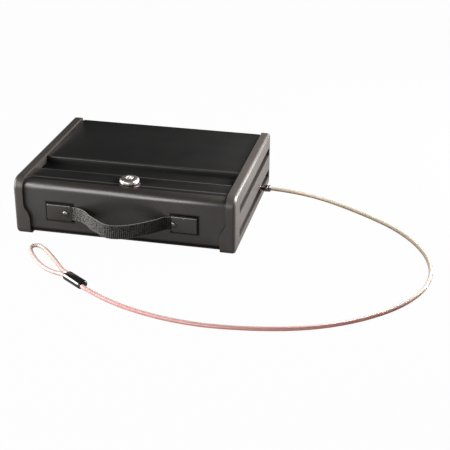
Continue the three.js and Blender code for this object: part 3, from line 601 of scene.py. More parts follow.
def jacket_section(_):
    angles = [math.tau * i / JACKET_SIDES for i in range(JACKET_SIDES)]
    return [(CABLE_DIAMETER / 2 * math.cos(a), CABLE_DIAMETER / 2 * math.sin(a)) for a in angles]


def rope_section(travelled):
    twist = math.tau * travelled / ROPE_LAY
    points = []
    for i in range(ROPE_SIDES):
        angle = math.tau * i / ROPE_SIDES
        lobe = abs(math.cos(ROPE_STRANDS * (angle - twist) / 2))
        radius = ROPE_RADIUS * (1 - ROPE_GROOVE + ROPE_GROOVE * lobe)
        points.append((radius * math.cos(angle), radius * math.sin(angle)))
    return points


# %% [markdown]
# The vinyl is half clear: part of the light goes through it and part is scattered. Its tint runs from tan
# at the right over a pale stretch to pink along the near one, as in the photograph, so a ramp on the
# piece's own Y gives it. The rope inside is bright drawn steel, with dark grooves between its strands.

# %% Vinyl and rope
TAN = (0.31, 0.265, 0.205)
PALE = (0.62, 0.52, 0.46)
PINK = (0.70, 0.40, 0.38)
PINK_FROM = -240 * MM
TAN_FROM = -60 * MM
vinyl, tree, shader = new_finish("clear_vinyl", TAN, 0.2, Transmission_Weight=0.35, IOR=1.48)
towards_back = spread(tree, place_on(tree, "Y"), 0, 1, PINK_FROM, TAN_FROM)
near_stretch = blend_colours(tree, towards_back, PINK, TAN, 0, 1)
tree.links.new(near_stretch, shader.inputs["Base Color"])
near_stretch.node.color_ramp.elements.new(0.5).color = (*PALE, 1)
bump(tree, shader, grain(tree, 150), 0.03 * MM)
rope_steel = plated("rope_steel", (0.88, 0.84, 0.80), 0.32, (1, 1, 1), 1500, 0.35)

cable_run = sweep("cable_run_jacket", run_line, jacket_section)
cable_rope = sweep("cable_run_rope", smooth(run_points, ROPE_STEP), rope_section)
cable_eye = sweep("cable_eye_jacket", eye_line, jacket_section)
eye_rope = sweep("cable_eye_rope", smooth(eye_points, ROPE_STEP), rope_section)
dress(cable_run, "case", "cable_jacket", vinyl, "cable_run")
dress(cable_rope, "case", "cable_jacket", rope_steel)
dress(cable_eye, "case", "cable_jacket", vinyl, "cable_loop")
dress(eye_rope, "case", "cable_jacket", rope_steel)

# %% [markdown]
# The sleeve is a short oval crimp that grips both legs of the eye. A block becomes one when its four long
# edges get a bevel nearly as wide as half its height, and a second bevel rounds its ends over.

# %% The crimped sleeve
SLEEVE_WIDTH = 14.4 * MM
SLEEVE_HEIGHT = 10 * MM
SLEEVE_ROUND = 3.4 * MM
SLEEVE_OVAL = 0.46 * SLEEVE_HEIGHT
half = Vector((SLEEVE_LENGTH, SLEEVE_WIDTH, SLEEVE_HEIGHT)) / 2
sleeve = block("loop_sleeve_crimp", -half, half)
pick_edges(sleeve, lambda a, b: abs(a.x - b.x) > half.x)
bpy.ops.mesh.bevel(offset=SLEEVE_OVAL, segments=10, affect="EDGES")
pick_faces(sleeve, lambda normal: abs(normal.x) > 0.9)
bpy.ops.mesh.bevel(offset=SLEEVE_ROUND, segments=5, affect="EDGES")
take(sleeve)
sleeve.rotation_euler = (0, 0, SLEEVE_ANGLE)
sleeve.location = at_sleeve(half.x, 0)
bpy.ops.object.transform_apply(location=True, rotation=True, scale=True)
shade_smooth(sleeve, 40)
dress(sleeve, "case", "sleeve_black", sleeve_black, "loop_sleeve")

# %% [markdown]
# The terminal that grips the cable is turned from nickel-plated steel: a shaft through the cap, a slim neck
# and the swaged ferrule with its groove. Inside the safe a wider disc stops it from being pulled out.

# %% The cable's terminal
FERRULE = 4.9 * MM
NECK = 3.4 * MM
DISC = 8 * MM
BREAK = 0.7 * MM
GROOVE = 0.35 * MM
anchor_low, anchor_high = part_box("cable_anchor")
disc_end = anchor_low.x + 2.5 * MM
tip = anchor_high.x
anchor = turned("cable_terminal", [
    (0, anchor_low.x), (DISC - BREAK, anchor_low.x), (DISC, anchor_low.x + BREAK), (DISC, disc_end),
    (FERRULE, disc_end), (FERRULE, END - 1.2 * MM), (FERRULE - BREAK, END - 0.5 * MM), (NECK, END - 0.5 * MM),
    (NECK, END + 2.4 * MM), (FERRULE - BREAK, END + 2.6 * MM), (FERRULE, END + 3.4 * MM),
    (FERRULE, tip - 4.5 * MM), (FERRULE - GROOVE, tip - 4 * MM), (FERRULE - GROOVE, tip - 3 * MM),
    (FERRULE, tip - 2.5 * MM), (FERRULE, tip - 1.2 * MM), (FERRULE - 1 * MM, tip), (0, tip),
], (0, ANCHOR_Y, ANCHOR_Z), steps=48, axis="X")
soften(anchor, width=0.15 * MM)
dress(anchor, "case", "chrome", nickel, "cable_anchor")

# %% [markdown]
# A cable bends when the safe is used, although here it lies still.

print("the cable lies still")

# %% [markdown]
# ## The steel tray
#
# The tray is one sheet: from the rolled corner at the front top, down the front wall, under the floor and
# up the back wall. The rolled corner has a large radius, which gives the front its long soft highlight.

# %% The tray
FRONT_ROLL = 12 * MM
LOWER_ROLL = 5 * MM
KNUCKLE = 2.4 * MM
back_top = HINGE_Z - KNUCKLE - GAP
# A sliver of flat sheet stays behind the roll, because a bevel can't use up a whole face.
SLIVER = 0.01 * MM
tray_path = [
    (shell_low.y + FRONT_ROLL + SLIVER, shell_high.z), (shell_low.y, shell_high.z),
    (shell_low.y, shell_low.z), (shell_high.y, shell_low.z), (shell_high.y, back_top),
]
tray = ribbon("steel_tray", tray_path, shell_low.x, shell_high.x)
bend(tray, tray_path, 1, FRONT_ROLL, 20)
bend(tray, tray_path, 2, LOWER_ROLL, 10)
bend(tray, tray_path, 3, LOWER_ROLL, 10)
face_towards(tray, (0, 0, -1))
thicken(tray)
soften(tray)
dress(tray, "case", "body_paint", body_paint, "body_shell")

# %% [markdown]
# Along the tray's foot the photograph shows a dark band with a lighter line in it: the shade where the bottom
# bend turns towards the floor. It is too fine for a shape of its own, so a ramp over the height paints that
# shade into the tray's paint. Each stop is a height above the tray's underside, in millimetres, with the
# share of light that is left.

# %% Painted shade along the tray's foot
# Painted shade: darker bands of the tray's colour near its foot.
FOOT_SHADE = [(0, 0.1), (1.2, 0.15), (2.4, 1), (3.4, 0.5), (4.6, 0.1), (6, 0.25), (9, 1)]
tree = body_paint.node_tree
foot_shade_stops = [(shell_low.z + height * MM, share) for height, share in FOOT_SHADE]
darken(tree, shade_bands(tree, place_on(tree, "Z"), foot_shade_stops))
print("seam line with", len(FOOT_SHADE), "stops")

# %% [markdown]
# ## The end caps
#
# Each cap is a moulding with the case's outline, a rounded outer rim and two tapered recesses along its
# outer face. It laps over the tray by a thin lip, which widens in a soft S to a foot at the bottom corners.
# One cap is modelled from a block, and the other is its mirror image.

# %% The cap's body
CAP_THICKNESS = 13 * MM
FRONT_RADIUS = 15.5 * MM
BACK_RADIUS = 7 * MM
FOOT_RADIUS = 8.5 * MM
RIM_RADIUS = 4.5 * MM
inner_x = END - CAP_THICKNESS
corners = [
    (cap_low.y, cap_high.z, FRONT_RADIUS), (cap_high.y, cap_high.z, BACK_RADIUS),
    (cap_low.y, 0, FOOT_RADIUS), (cap_high.y, 0, FOOT_RADIUS),
]


def outline_block(name, x0, x1, inset=0.0):
    low = (x0, cap_low.y + inset, inset)
    piece = block(name, low, (x1, cap_high.y - inset, cap_high.z - inset))
    for y, z, radius in corners:
        edge_y = y + inset if y < CASE_Y else y - inset
        edge_z = z - inset if z > 0 else inset
        pick_edges(piece, lambda a, b: all(near(p.y, edge_y) and near(p.z, edge_z) for p in (a, b)))
        bpy.ops.mesh.bevel(offset=radius - inset, segments=14, affect="EDGES")
    let_go()
    return piece


cap = outline_block("end_cap", inner_x, END)
pick_faces(cap, lambda normal: normal.x > 0.9)
bpy.ops.mesh.bevel(offset=RIM_RADIUS, segments=7, affect="EDGES")
let_go()
print("cap body", len(cap.data.polygons), "faces")

# %% [markdown]
# The lip starts as a band of the same outline, hollowed by a slightly smaller one. A cutter with the
# S-shaped edge then trims it, so the lip is narrow at the top and wide at the foot. Booleans suit this,
# because the lip and the cap share one outline and meet without a step.

# %% The lapping lip and foot
LIP = 3.2 * MM
FOOT_WIDTH = 21 * MM
FOOT_TOP = 44.5 * MM
FOOT_FULL = 24.5 * MM
FOOT_LENGTH = 31.5 * MM
CURVE_STEPS = 12
foot_x = END - FOOT_WIDTH

lip = outline_block("lip", foot_x, inner_x + 1 * MM)
cut(lip, outline_block("lip_hollow", foot_x - 1 * MM, inner_x, LIP))
s_curve = []
for i in range(CURVE_STEPS + 1):
    ease = (1 - math.cos(math.pi * i / CURVE_STEPS)) / 2
    s_curve.append((foot_x + (inner_x - foot_x) * ease, FOOT_FULL + (FOOT_TOP - FOOT_FULL) * i / CURVE_STEPS))
above = cap_high.z + 8 * MM
trim_path = [(foot_x - 2 * MM, FOOT_FULL), *s_curve, (inner_x, above), (foot_x - 2 * MM, above)]


def slab(name, outline, y0, y1):
    let_go()
    bpy.ops.mesh.primitive_circle_add(vertices=len(outline), fill_type="NGON")
    piece = bpy.context.object
    piece.name = name
    for vertex, (x, z) in zip(piece.data.vertices, outline):
        vertex.co = (x, y0, z)
    edit(piece, "FACE")
    bpy.ops.mesh.select_all(action="SELECT")
    bpy.ops.mesh.extrude_region_move(TRANSFORM_OT_translate={"value": (0, y1 - y0, 0)})
    bpy.ops.mesh.select_all(action="SELECT")
    bpy.ops.mesh.normals_make_consistent(inside=False)
    let_go()
    return piece


cut(lip, slab("lip_trim", trim_path, cap_low.y - 5 * MM, cap_high.y + 5 * MM),
    block("foot_gap", (foot_x - 1 * MM, cap_low.y + FOOT_LENGTH, -MM),
          (inner_x, cap_high.y - FOOT_LENGTH, above)))
cut(cap, lip, operation="UNION")
print("cap with lip", len(cap.data.polygons), "faces")

# %% [markdown]
# Two wedges cut the recesses. Each wedge is shallow at the front and deep at the back, so the grooves
# deepen slowly along the cap and end in a dark square pocket.

# %% The recesses
RECESS_BASES = (13 * MM, 48.5 * MM)
RECESS_HEIGHT = 12.5 * MM
RECESS_FRONT = cap_low.y + 29.5 * MM
RECESS_BACK = cap_high.y - 8.5 * MM
RECESS_SHALLOW = 2.5 * MM
RECESS_DEEP = 6.5 * MM
for base in RECESS_BASES:
    wedge = block("wedge", (END - RECESS_SHALLOW, RECESS_FRONT, base),
                  (END + 5 * MM, RECESS_BACK, base + RECESS_HEIGHT))
    pick_edges(wedge, lambda a, b: near(a.x, b.x) and near(a.y, b.y) and a.x < END and a.y > CASE_Y)
    bpy.ops.transform.translate(value=(RECESS_SHALLOW - RECESS_DEEP, 0, 0))
    cut(cap, wedge)
print("cap with recesses", len(cap.data.polygons), "faces")

# %% [markdown]
# In the photograph the recesses' floors are nearly black, darker than the lamps leave them here, because they
# lie in shade. So painted shade is added in the plastic's own nodes: wherever a point lies in a recess by its
# height, its depth behind the outer face and its place along the cap, the colour keeps three tenths of its
# light.

# %% Painted shade in the recesses
FADE = 0.6 * MM
# Painted shade: the share of light the recess floors keep.
RECESS_SHADE_LIGHT = 0.3
RECESS_REACH = 121 * MM
tree = cap_plastic.node_tree
recess_stops = [(0, 1)]
for base in RECESS_BASES:
    far = base + RECESS_HEIGHT
    recess_stops += [(base - FADE, 1), (base, 0), (far, 0), (far + FADE, 1)]
recess_stops.append((cap_high.z, 1))
heights = shade_bands(tree, place_on(tree, "Z"), recess_stops)
outward = spread(tree, calc(tree, "ABSOLUTE", place_on(tree, "X")), 0, 1, END - 2 * MM, END - 0.4 * MM)
along = calc(tree, "ABSOLUTE", calc(tree, "SUBTRACT", place_on(tree, "Y"), CASE_Y))
beyond = spread(tree, along, 0, 1, RECESS_REACH, RECESS_REACH + 1 * MM)
clear = calc(tree, "MAXIMUM", calc(tree, "MAXIMUM", outward, beyond), heights)
darken(tree, spread(tree, clear, RECESS_SHADE_LIGHT, 1, 0, 1))
print("floors darkened over", len(RECESS_BASES), "recesses")

# %% [markdown]
# The cap is mirrored for the left end. Only the right one has the hole that the cable's terminal goes
# through.

# %% Mirror the cap and bore the right one
take(cap)
bpy.ops.object.duplicate()
left_cap = bpy.context.object
left_cap.name = "end_cap_left_moulding"
bpy.ops.object.mode_set(mode="EDIT")
bpy.ops.mesh.select_all(action="SELECT")
bpy.ops.transform.resize(value=(-1, 1, 1), center_override=(0, 0, 0))
bpy.ops.mesh.normals_make_consistent(inside=False)
let_go()
cap.name = "end_cap_right_moulding"
wide = FERRULE + GAP
bore = turned("bore", [(0, inner_x - MM), (wide, inner_x - MM), (wide, END + MM), (0, END + MM)],
              (0, ANCHOR_Y, ANCHOR_Z), steps=40, axis="X")
cut(cap, bore)
for piece, side in ((cap, "right"), (left_cap, "left")):
    soften(piece, width=0.8 * MM, segments=4)
    dress(piece, "case", "cap_plastic", cap_plastic, f"end_cap_{side}")

# %% [markdown]
# ## The lid
#
# The lid is one folded sheet from the hinge to the front edge: the wide rear panel, the finger channel, the
# rail that carries the lock, and a front flange that hangs inside the rolled corner. Short flanges stiffen
# its sides.

# %% The lid's sheet
CHANNEL_FRONT = lid_low.y + 37.2 * MM
CHANNEL_BACK = CHANNEL_FRONT + 43 * MM
CHANNEL_FLOOR = shell_high.z - 9.5 * MM
DRAFT = 0.4 * MM
STEP_Y = lid_low.y + 8 * MM
STEP = 0.4 * MM
FLANGE_DROP = 12 * MM
FLANGE_HALF = lid_high.x - 1.8 * MM
# Each row has the numbers of some folds, their bend radius, and how many segments round them.
FOLDS = [((1, 4, 7), 2 * MM, 8), ((2, 3), 0.5 * MM, 3), ((5, 6), 0.35 * MM, 3)]
top = shell_high.z
lid_path = [
    (lid_high.y, top), (CHANNEL_BACK, top), (CHANNEL_BACK - DRAFT, CHANNEL_FLOOR),
    (CHANNEL_FRONT + DRAFT, CHANNEL_FLOOR), (CHANNEL_FRONT, top), (STEP_Y + STEP, top), (STEP_Y, top - STEP),
    (lid_low.y, top - STEP), (lid_low.y, top - STEP - FLANGE_DROP),
]
lid = ribbon("steel_lid", lid_path, lid_low.x, lid_high.x)
for indexes, radius, segments in FOLDS:
    for index in indexes:
        bend(lid, lid_path, index, radius, segments)
face_towards(lid, (0, 0, 1))
thicken(lid)
print("lid sheet", len(lid.data.polygons), "faces")

# %% [markdown]
# The front flange is narrower than the lid, so that it clears the end plates, and the side flanges are
# welded strips. The lock's hole goes through the rail.

# %% The lid's flanges and hole
SIDE_FLANGE = 8 * MM
LOCK_HOLE = 9.8 * MM
behind_flange = lid_low.y + SHEET + GAP
for side in (-1, 1):
    x0, x1 = sorted((side * FLANGE_HALF, side * (lid_high.x + MM)))
    cut(lid, block("flange_end", (x0, lid_low.y - MM, 0), (x1, behind_flange, top - SHEET - 1 * MM)))
hole = turned("hole", [(0, top - 5 * MM), (LOCK_HOLE, top - 5 * MM), (LOCK_HOLE, top + MM), (0, top + MM)],
              (LOCK_X, LOCK_Y, 0), steps=48)
cut(lid, hole)
strips = []
for side in (-1, 1):
    x0, x1 = sorted((side * (FLANGE_HALF - SHEET), side * FLANGE_HALF))
    for y0, y1 in ((behind_flange, CHANNEL_FRONT - SHEET - GAP),
                   (CHANNEL_BACK + SHEET + GAP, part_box("hinge_leaf_lid")[0].y - GAP)):
        strips.append(block("side_flange", (x0, y0, top - SHEET - SIDE_FLANGE), (x1, y1, top - SHEET)))
join(lid, *strips)
soften(lid)
dress(lid, "lid", "lid_paint", lid_paint, "lid_panel")

# %% [markdown]
# Three fine lines of painted highlight run along the lid, a lighter colour where the folds catch the light:
# the two upper edges of the channel and the step at the front. Down in the channel the coat is dull, as a
# spray gun leaves it.

# %% Painted highlights along the folds, and the dull channel
# The colour of the painted highlight along the folds.
HIGHLIGHT_COLOUR = (0.10, 0.098, 0.095, 1)
# Each row has a line's middle, the reach to either side of it, and how strong the painted highlight is there.
HIGHLIGHT_LINES = [
    (CHANNEL_BACK + 1.6 * MM, 1.4 * MM, 0.25),
    (CHANNEL_FRONT - 1.3 * MM, 1.5 * MM, 0.9),
    (STEP_Y - 0.3 * MM, 1.5 * MM, 0.5),
]
tree = lid_paint.node_tree
shader = tree.nodes["Principled BSDF"]
height = place_on(tree, "Z")
painted_light = 0
for middle, reach, strength in HIGHLIGHT_LINES:
    distance = calc(tree, "ABSOLUTE", calc(tree, "SUBTRACT", place_on(tree, "Y"), middle))
    painted_light = calc(tree, "MAXIMUM", painted_light, spread(tree, distance, strength, 0, 0, reach))
top_only = spread(tree, height, 0, 1, top - 2 * MM, top - 1 * MM)
colours = add(tree, "Mix", {"B": HIGHLIGHT_COLOUR}, data_type="RGBA")
tree.links.new(calc(tree, "MULTIPLY", painted_light, top_only), colours.inputs["Factor"])
tree.links.new(shader.inputs["Base Color"].links[0].from_socket, colours.inputs["A"])
tree.links.new(colours.outputs["Result"], shader.inputs["Base Color"])
for socket, in_channel, on_top in (("Roughness", 0.65, 0.28), ("Specular IOR Level", 0.1, 0.5)):
    value = spread(tree, height, in_channel, on_top, top - 5 * MM, top - 1 * MM)
    tree.links.new(value, shader.inputs[socket])
print("lines along the folds", len(HIGHLIGHT_LINES))

# %% [markdown]
# ## The lock
#
# A tubular cam lock sits in the lid's rail: a satin chrome head with a short upright rim and a rounded
# dome. Under the lid its threaded barrel takes a washer and a nut. Head and barrel are one turning, so one
# profile gives both, with the thread as a row of ridges.

# %% The lock's housing
BARREL = 9.5 * MM
PLUG = 5.7 * MM
HEAD = 13.5 * MM
housing_low, housing_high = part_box("lock_housing")
bore_radius = PLUG + GAP
barrel_low = housing_low.z
head_base = top + GAP
head_top = housing_high.z
housing_profile = [
    (bore_radius, barrel_low), (BARREL - 0.6 * MM, barrel_low), (BARREL, barrel_low + 0.6 * MM),
]
PITCH = 1 * MM
THREAD = 0.45 * MM
height = barrel_low + 1.2 * MM
while height < top - SHEET - 2 * MM:
    housing_profile += [(BARREL, height), (BARREL - THREAD, height + PITCH / 2)]
    height += PITCH
HEAD_RIM = 2.6 * MM
DOME_EDGE = bore_radius + 1.4 * MM
DOME_TURNS = 12
dome_height = head_top - head_base - HEAD_RIM
quarter = [math.pi / 2 * i / DOME_TURNS for i in range(DOME_TURNS + 1)]
head_dome = [(DOME_EDGE + (HEAD - DOME_EDGE) * math.cos(a), head_base + HEAD_RIM + dome_height * math.sin(a))
             for a in quarter]
housing_profile += [
    (BARREL, height), (BARREL, head_base), (HEAD - 0.2 * MM, head_base), (HEAD, head_base + 0.3 * MM),
    *head_dome, (bore_radius + 0.2 * MM, head_top), (bore_radius, head_top - 0.2 * MM),
    (bore_radius, barrel_low),
]
housing = turned("lock_head", housing_profile, (LOCK_X, LOCK_Y, 0), steps=72)
shade_smooth(housing, 28)
dress(housing, "lid", "chrome", chrome, "lock_housing")

# %% [markdown]
# The plug is the round core that the tubular key turns. The key goes into a ring-shaped slot round a short
# post, and a notch at the slot's edge holds it in place. The slot is part of the turned profile, and a
# block cuts the notch.

# %% The lock's plug
plug_low, plug_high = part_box("lock_plug")
plug_top = plug_high.z
CAM_SHAFT = 4 * MM
KEY_OUTER = 3.4 * MM
KEY_INNER = 1.9 * MM
KEY_DEPTH = 5 * MM
POST_DOWN = 2.5 * MM
DIMPLE = 0.6 * MM
plug_profile = [
    (0, plug_low.z), (CAM_SHAFT, plug_low.z), (CAM_SHAFT, barrel_low), (PLUG, barrel_low),
    (PLUG, plug_top - 0.3 * MM), (PLUG - 0.3 * MM, plug_top), (KEY_OUTER + 0.15 * MM, plug_top),
    (KEY_OUTER, plug_top - 0.15 * MM), (KEY_OUTER, plug_top - KEY_DEPTH), (KEY_INNER, plug_top - KEY_DEPTH),
    (KEY_INNER, plug_top - POST_DOWN - 0.2 * MM), (KEY_INNER - 0.2 * MM, plug_top - POST_DOWN),
    (1.1 * MM, plug_top - POST_DOWN), (0.9 * MM, plug_top - POST_DOWN - DIMPLE),
    (0, plug_top - POST_DOWN - DIMPLE),
]
plug = turned("lock_key_plug", plug_profile, (LOCK_X, LOCK_Y, 0), steps=64)
NOTCH_HALF = 0.8 * MM
NOTCH_DEPTH = 1.2 * MM
cut(plug, block("notch", (LOCK_X + KEY_OUTER - 0.5 * MM, LOCK_Y - NOTCH_HALF, plug_top - NOTCH_DEPTH),
                (LOCK_X + PLUG + MM, LOCK_Y + NOTCH_HALF, plug_top + MM)))
shade_smooth(plug, 28)
dress(plug, "lock_core", "chrome", satin_chrome, "lock_plug")

# %% [markdown]
# ## The carry strap
#
# The strap is flat webbing. It comes out from under the left plate, bows out in front of the box and goes
# back in under the right plate. A spline through the points of the bow gives its line, and the woven ribs
# are real relief.

# %% The strap's line
strap_low, strap_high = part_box("handle_strap")
plate_box = {side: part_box(f"handle_plate_{side}") for side in ("left", "right")}
STRAP_THICKNESS = 1.6 * MM
HANDLE_X = (plate_box["left"][0].x + plate_box["right"][1].x) / 2
flat_y = strap_high.y - STRAP_THICKNESS / 2
STRAP_BOW = [
    (-50.5, -8.2), (-37.5, -21.8), (-23.5, -33), (-11.5, -42), (-2, -44.6), (11, -42.8),
    (25.5, -35.5), (39.5, -25), (52, -13),
]
left_in = plate_box["left"][1].x
right_in = plate_box["right"][0].x
HIDDEN = 27 * MM
LEAVING = 8 * MM
LIFT = 1.2 * MM
strap_route = [
    (left_in - HIDDEN, flat_y), (left_in - HIDDEN / 2, flat_y), (left_in, flat_y),
    (left_in + LEAVING, flat_y - LIFT),
    *[(HANDLE_X + x * MM, shell_low.y + y * MM) for x, y in STRAP_BOW],
    (right_in - LEAVING, flat_y - LIFT),
    (right_in, flat_y), (right_in + HIDDEN / 2, flat_y), (right_in + HIDDEN, flat_y),
]
strap_points = [Vector((x, y, 0)) for x, y in strap_route]
strap_line = smooth(strap_points, 0.5 * MM)
print("strap", round(length_of(strap_line), 3), "m of webbing")

# %% [markdown]
# The webbing's section is swept along that line: flat faces with fine lengthwise ribs, and a rounded
# selvage at each edge. Where the weft crosses, the ribs swell and sink, which gives the surface its woven
# look.

# %% Weave the strap
RIB = 1.9 * MM
WEFT = 2.6 * MM
WEFT_SHARE = 0.45
RELIEF = 0.25 * MM
WIDTH_STEPS = 72
strap_half = (strap_high.z - strap_low.z) / 2
strap_mid = (strap_high.z + strap_low.z) / 2


def strap_sections():
    mesh = bmesh.new()
    uv_layer = mesh.loops.layers.uv.new("UVMap")
    rows = []
    travelled = 0.0
    for i, point in enumerate(strap_line):
        ahead = strap_line[min(i + 1, len(strap_line) - 1)] - strap_line[max(i - 1, 0)]
        out = Vector((ahead.y, -ahead.x, 0)).normalized()
        travelled += (point - strap_line[i - 1]).length if i else 0
        row = []
        for face in (1, -1):
            for j in range(WIDTH_STEPS):
                share = (j + 0.5) / WIDTH_STEPS * 2 - 1
                z = share * face * strap_half
                edge = min(1.0, (strap_half - abs(z)) / (STRAP_THICKNESS / 2))
                thick = (STRAP_THICKNESS / 2 - RELIEF) * math.sqrt(max(0.0, 1 - (1 - edge) ** 2))
                phase = math.pi * (math.floor(z / RIB) % 2)
                swell = 1 - WEFT_SHARE + WEFT_SHARE * math.sin(math.tau * travelled / WEFT + phase)
                rib = math.cos(math.pi * ((z / RIB) % 1 - 0.5))
                depth = thick + RELIEF * rib * swell * edge
                row.append((point + out * face * depth + Vector((0, 0, strap_mid + z)), travelled, z))
        rows.append([(mesh.verts.new(place), u, v) for place, u, v in row])
    for row, following in zip(rows, rows[1:]):
        for i in range(len(row)):
            j = (i + 1) % len(row)
            ring = (row[i], row[j], following[j], following[i])
            face = mesh.faces.new([vertex for vertex, _, _ in ring])
            for loop, (_, u, v) in zip(face.loops, ring):
                loop[uv_layer].uv = (u, v)
    mesh.faces.new([vertex for vertex, _, _ in rows[0]][::-1])
    mesh.faces.new([vertex for vertex, _, _ in rows[-1]])
    bmesh.ops.recalc_face_normals(mesh, faces=mesh.faces)
    return mesh


strap = bpy.data.objects.new("carry_strap", bpy.data.meshes.new("carry_strap"))
bpy.context.collection.objects.link(strap)
woven = strap_sections()
woven.to_mesh(strap.data)
woven.free()
shade_smooth(strap, 60)
print("woven", len(strap.data.polygons), "faces")

# %% [markdown]
# The yarn is dull neutral grey polyester, with painted shade nearly black in the valleys of the weave. Light
# and shade are painted along the strap: its left is painted paler, as where light falls, and its right dark,
# as in shade, and both woven edges get a painted highlight. The pattern follows the cloth's own UV map, which
# holds the length travelled and the height, so it bends with the strap.

# %% Webbing yarn
# Painted shade in the weave's valleys, a painted highlight on the edges, and painted light to the left and
# shade to the right.
VALLEY_SHADE = (0.003, 0.003, 0.003)
YARN = (0.075, 0.073, 0.069)
SELVAGE_HIGHLIGHT = (0.11, 0.108, 0.10, 1)
LIT_LEFT = 2.1
SHADED_RIGHT = 0.3
LIGHT_FROM = 0.2
LIGHT_TO = 0.75
# At scale 1 a Wave texture in bands repeats after this length.
WAVE_PERIOD = math.tau / 20
webbing, tree, shader = new_finish("webbing", (0.03, 0.033, 0.029), 0.85, Specular_IOR_Level=0.15)
coords = add(tree, "TexCoord")
ribs = add(tree, "TexWave", {"Scale": WAVE_PERIOD / WEFT, "Distortion": 1.5, "Detail Scale": 3.0},
           wave_type="BANDS", bands_direction="X")
tree.links.new(coords.outputs["UV"], ribs.inputs["Vector"])
strap_length = length_of(strap_line)
painted_light = spread(tree, place_on(tree, "X", "UV"), LIT_LEFT, SHADED_RIGHT,
              LIGHT_FROM * strap_length, LIGHT_TO * strap_length)
speckled = calc(tree, "MULTIPLY", ribs.outputs["Fac"], spread(tree, grain(tree, 650, 4), 0, 1.7, 0.38, 0.62))
from_middle = calc(tree, "ABSOLUTE", place_on(tree, "Y", "UV"))
selvage = spread(tree, from_middle, 0, 1, strap_half - 1.1 * MM, strap_half - 0.4 * MM)
weave = blend_colours(tree, speckled, VALLEY_SHADE, YARN, 0.05, 0.95)
edged = add(tree, "Mix", {"B": SELVAGE_HIGHLIGHT}, data_type="RGBA")
tree.links.new(selvage, edged.inputs["Factor"])
tree.links.new(multiply(tree, weave, painted_light), edged.inputs["A"])
tree.links.new(edged.outputs["Result"], shader.inputs["Base Color"])
bump(tree, shader, grain(tree, 2500, 3), 0.08 * MM)
dress(strap, "case", "webbing", webbing, "handle_strap")

# %% [markdown]
# Each end of the strap goes under a pressed plate, held by one dome-headed screw near its inner edge. The
# plate has rounded corners and a softly rolled rim, painted like the tray. It is a block with two bevels,
# and a second block cuts the slot that the strap lies in.

# %% The handle plates
PLATE_CORNER = 1.8 * MM
PLATE_ROLL = 1.5 * MM
HANDLE_Z = (plate_box["left"][0].z + plate_box["left"][1].z) / 2
for side, (low, high) in plate_box.items():
    plate = block(f"handle_plate_{side}_pressing", low, high)
    pick_edges(plate, lambda a, b: near(a.x, b.x) and near(a.z, b.z))
    bpy.ops.mesh.bevel(offset=PLATE_CORNER, segments=6, affect="EDGES")
    pick_faces(plate, lambda normal: normal.y < -0.9)
    bpy.ops.mesh.bevel(offset=PLATE_ROLL, segments=4, affect="EDGES")
    let_go()
    inner, far = (high.x + MM, low.x + 3 * MM) if side == "left" else (low.x - MM, high.x - 3 * MM)
    slot_low = (min(inner, far), strap_high.y - STRAP_THICKNESS - GAP, strap_low.z - GAP)
    slot_high = (max(inner, far), high.y + MM, strap_high.z + GAP)
    cut(plate, block("strap_slot", slot_low, slot_high))
    soften(plate, width=0.2 * MM)
    dress(plate, "case", "cap_plastic", body_paint, f"handle_plate_{side}")

# %% [markdown]
# A plate stands off the tray on its folded rim, so its shadow falls round it, and that shadow is painted into
# the tray's colour. The paint's nodes measure how far a point lies outside the plates' outline, with both
# plates folded onto one by the distance from the handle's middle, and a ramp paints the shade just beyond it.
# Each stop is a distance in millimetres and the share of light left.

# %% Painted shadow round the plates
# Painted shadow: stops of distance outside the plate and share of light left.
PLATE_SHADOW = [(-1, 1), (0, 1), (0.1, 0.1), (1.6, 0.15), (3.5, 0.85), (5, 1)]
WALL_DEPTH = 3 * MM
tree = body_paint.node_tree
low, high = plate_box["right"]
plate_middle = (low.x + high.x) / 2 - HANDLE_X


def distance_on(axis, middle):
    return calc(tree, "ABSOLUTE", calc(tree, "SUBTRACT", place_on(tree, axis), middle))


sideways = calc(tree, "ABSOLUTE", calc(tree, "SUBTRACT", distance_on("X", HANDLE_X), plate_middle))
outside = calc(tree, "MAXIMUM", calc(tree, "SUBTRACT", sideways, (high.x - low.x) / 2),
               calc(tree, "SUBTRACT", distance_on("Z", HANDLE_Z), (high.z - low.z) / 2))
behind = calc(tree, "SUBTRACT", place_on(tree, "Y"), shell_low.y + WALL_DEPTH)
plate_shadow_stops = [(place * MM, share) for place, share in PLATE_SHADOW]
darken(tree, shade_bands(tree, calc(tree, "MAXIMUM", outside, behind), plate_shadow_stops))
print("plates shaded off")

# %% [markdown]
# The screws have a tall dome with a cross recess. The dome is turned from a quarter circle, and the recess
# is cut by two small blocks.

# %% The handle screws
DOME_STEPS = 8
SHANK = 2 * MM
CROSS_LONG = 2.4 * MM
CROSS_THIN = 0.55 * MM
CROSS_DEPTH = 1.1 * MM
quarter = [math.pi / 2 * i / DOME_STEPS for i in range(DOME_STEPS + 1)]
for side in ("left", "right"):
    low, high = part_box(f"handle_screw_{side}")
    x = (low.x + high.x) / 2
    head = (high.x - low.x) / 2
    seat = plate_box[side][0].y - GAP
    tall = seat - low.y
    dome = [(head * math.sin(a), tall * math.cos(a)) for a in quarter]
    shank_end = seat - high.y
    profile = [*dome, (SHANK, 0), (SHANK, shank_end), (0, shank_end)]
    screw = turned(f"handle_screw_{side}_dome", profile, (x, seat, HANDLE_Z), steps=48, axis="-Y")
    for across, up in ((CROSS_THIN, CROSS_LONG), (CROSS_LONG, CROSS_THIN)):
        cut(screw, block("cross", (x - across, low.y - MM, HANDLE_Z - up),
                         (x + across, low.y + CROSS_DEPTH, HANDLE_Z + up)))
    shade_smooth(screw, 30)
    dress(screw, "case", "black_steel", black_zinc, f"handle_screw_{side}")

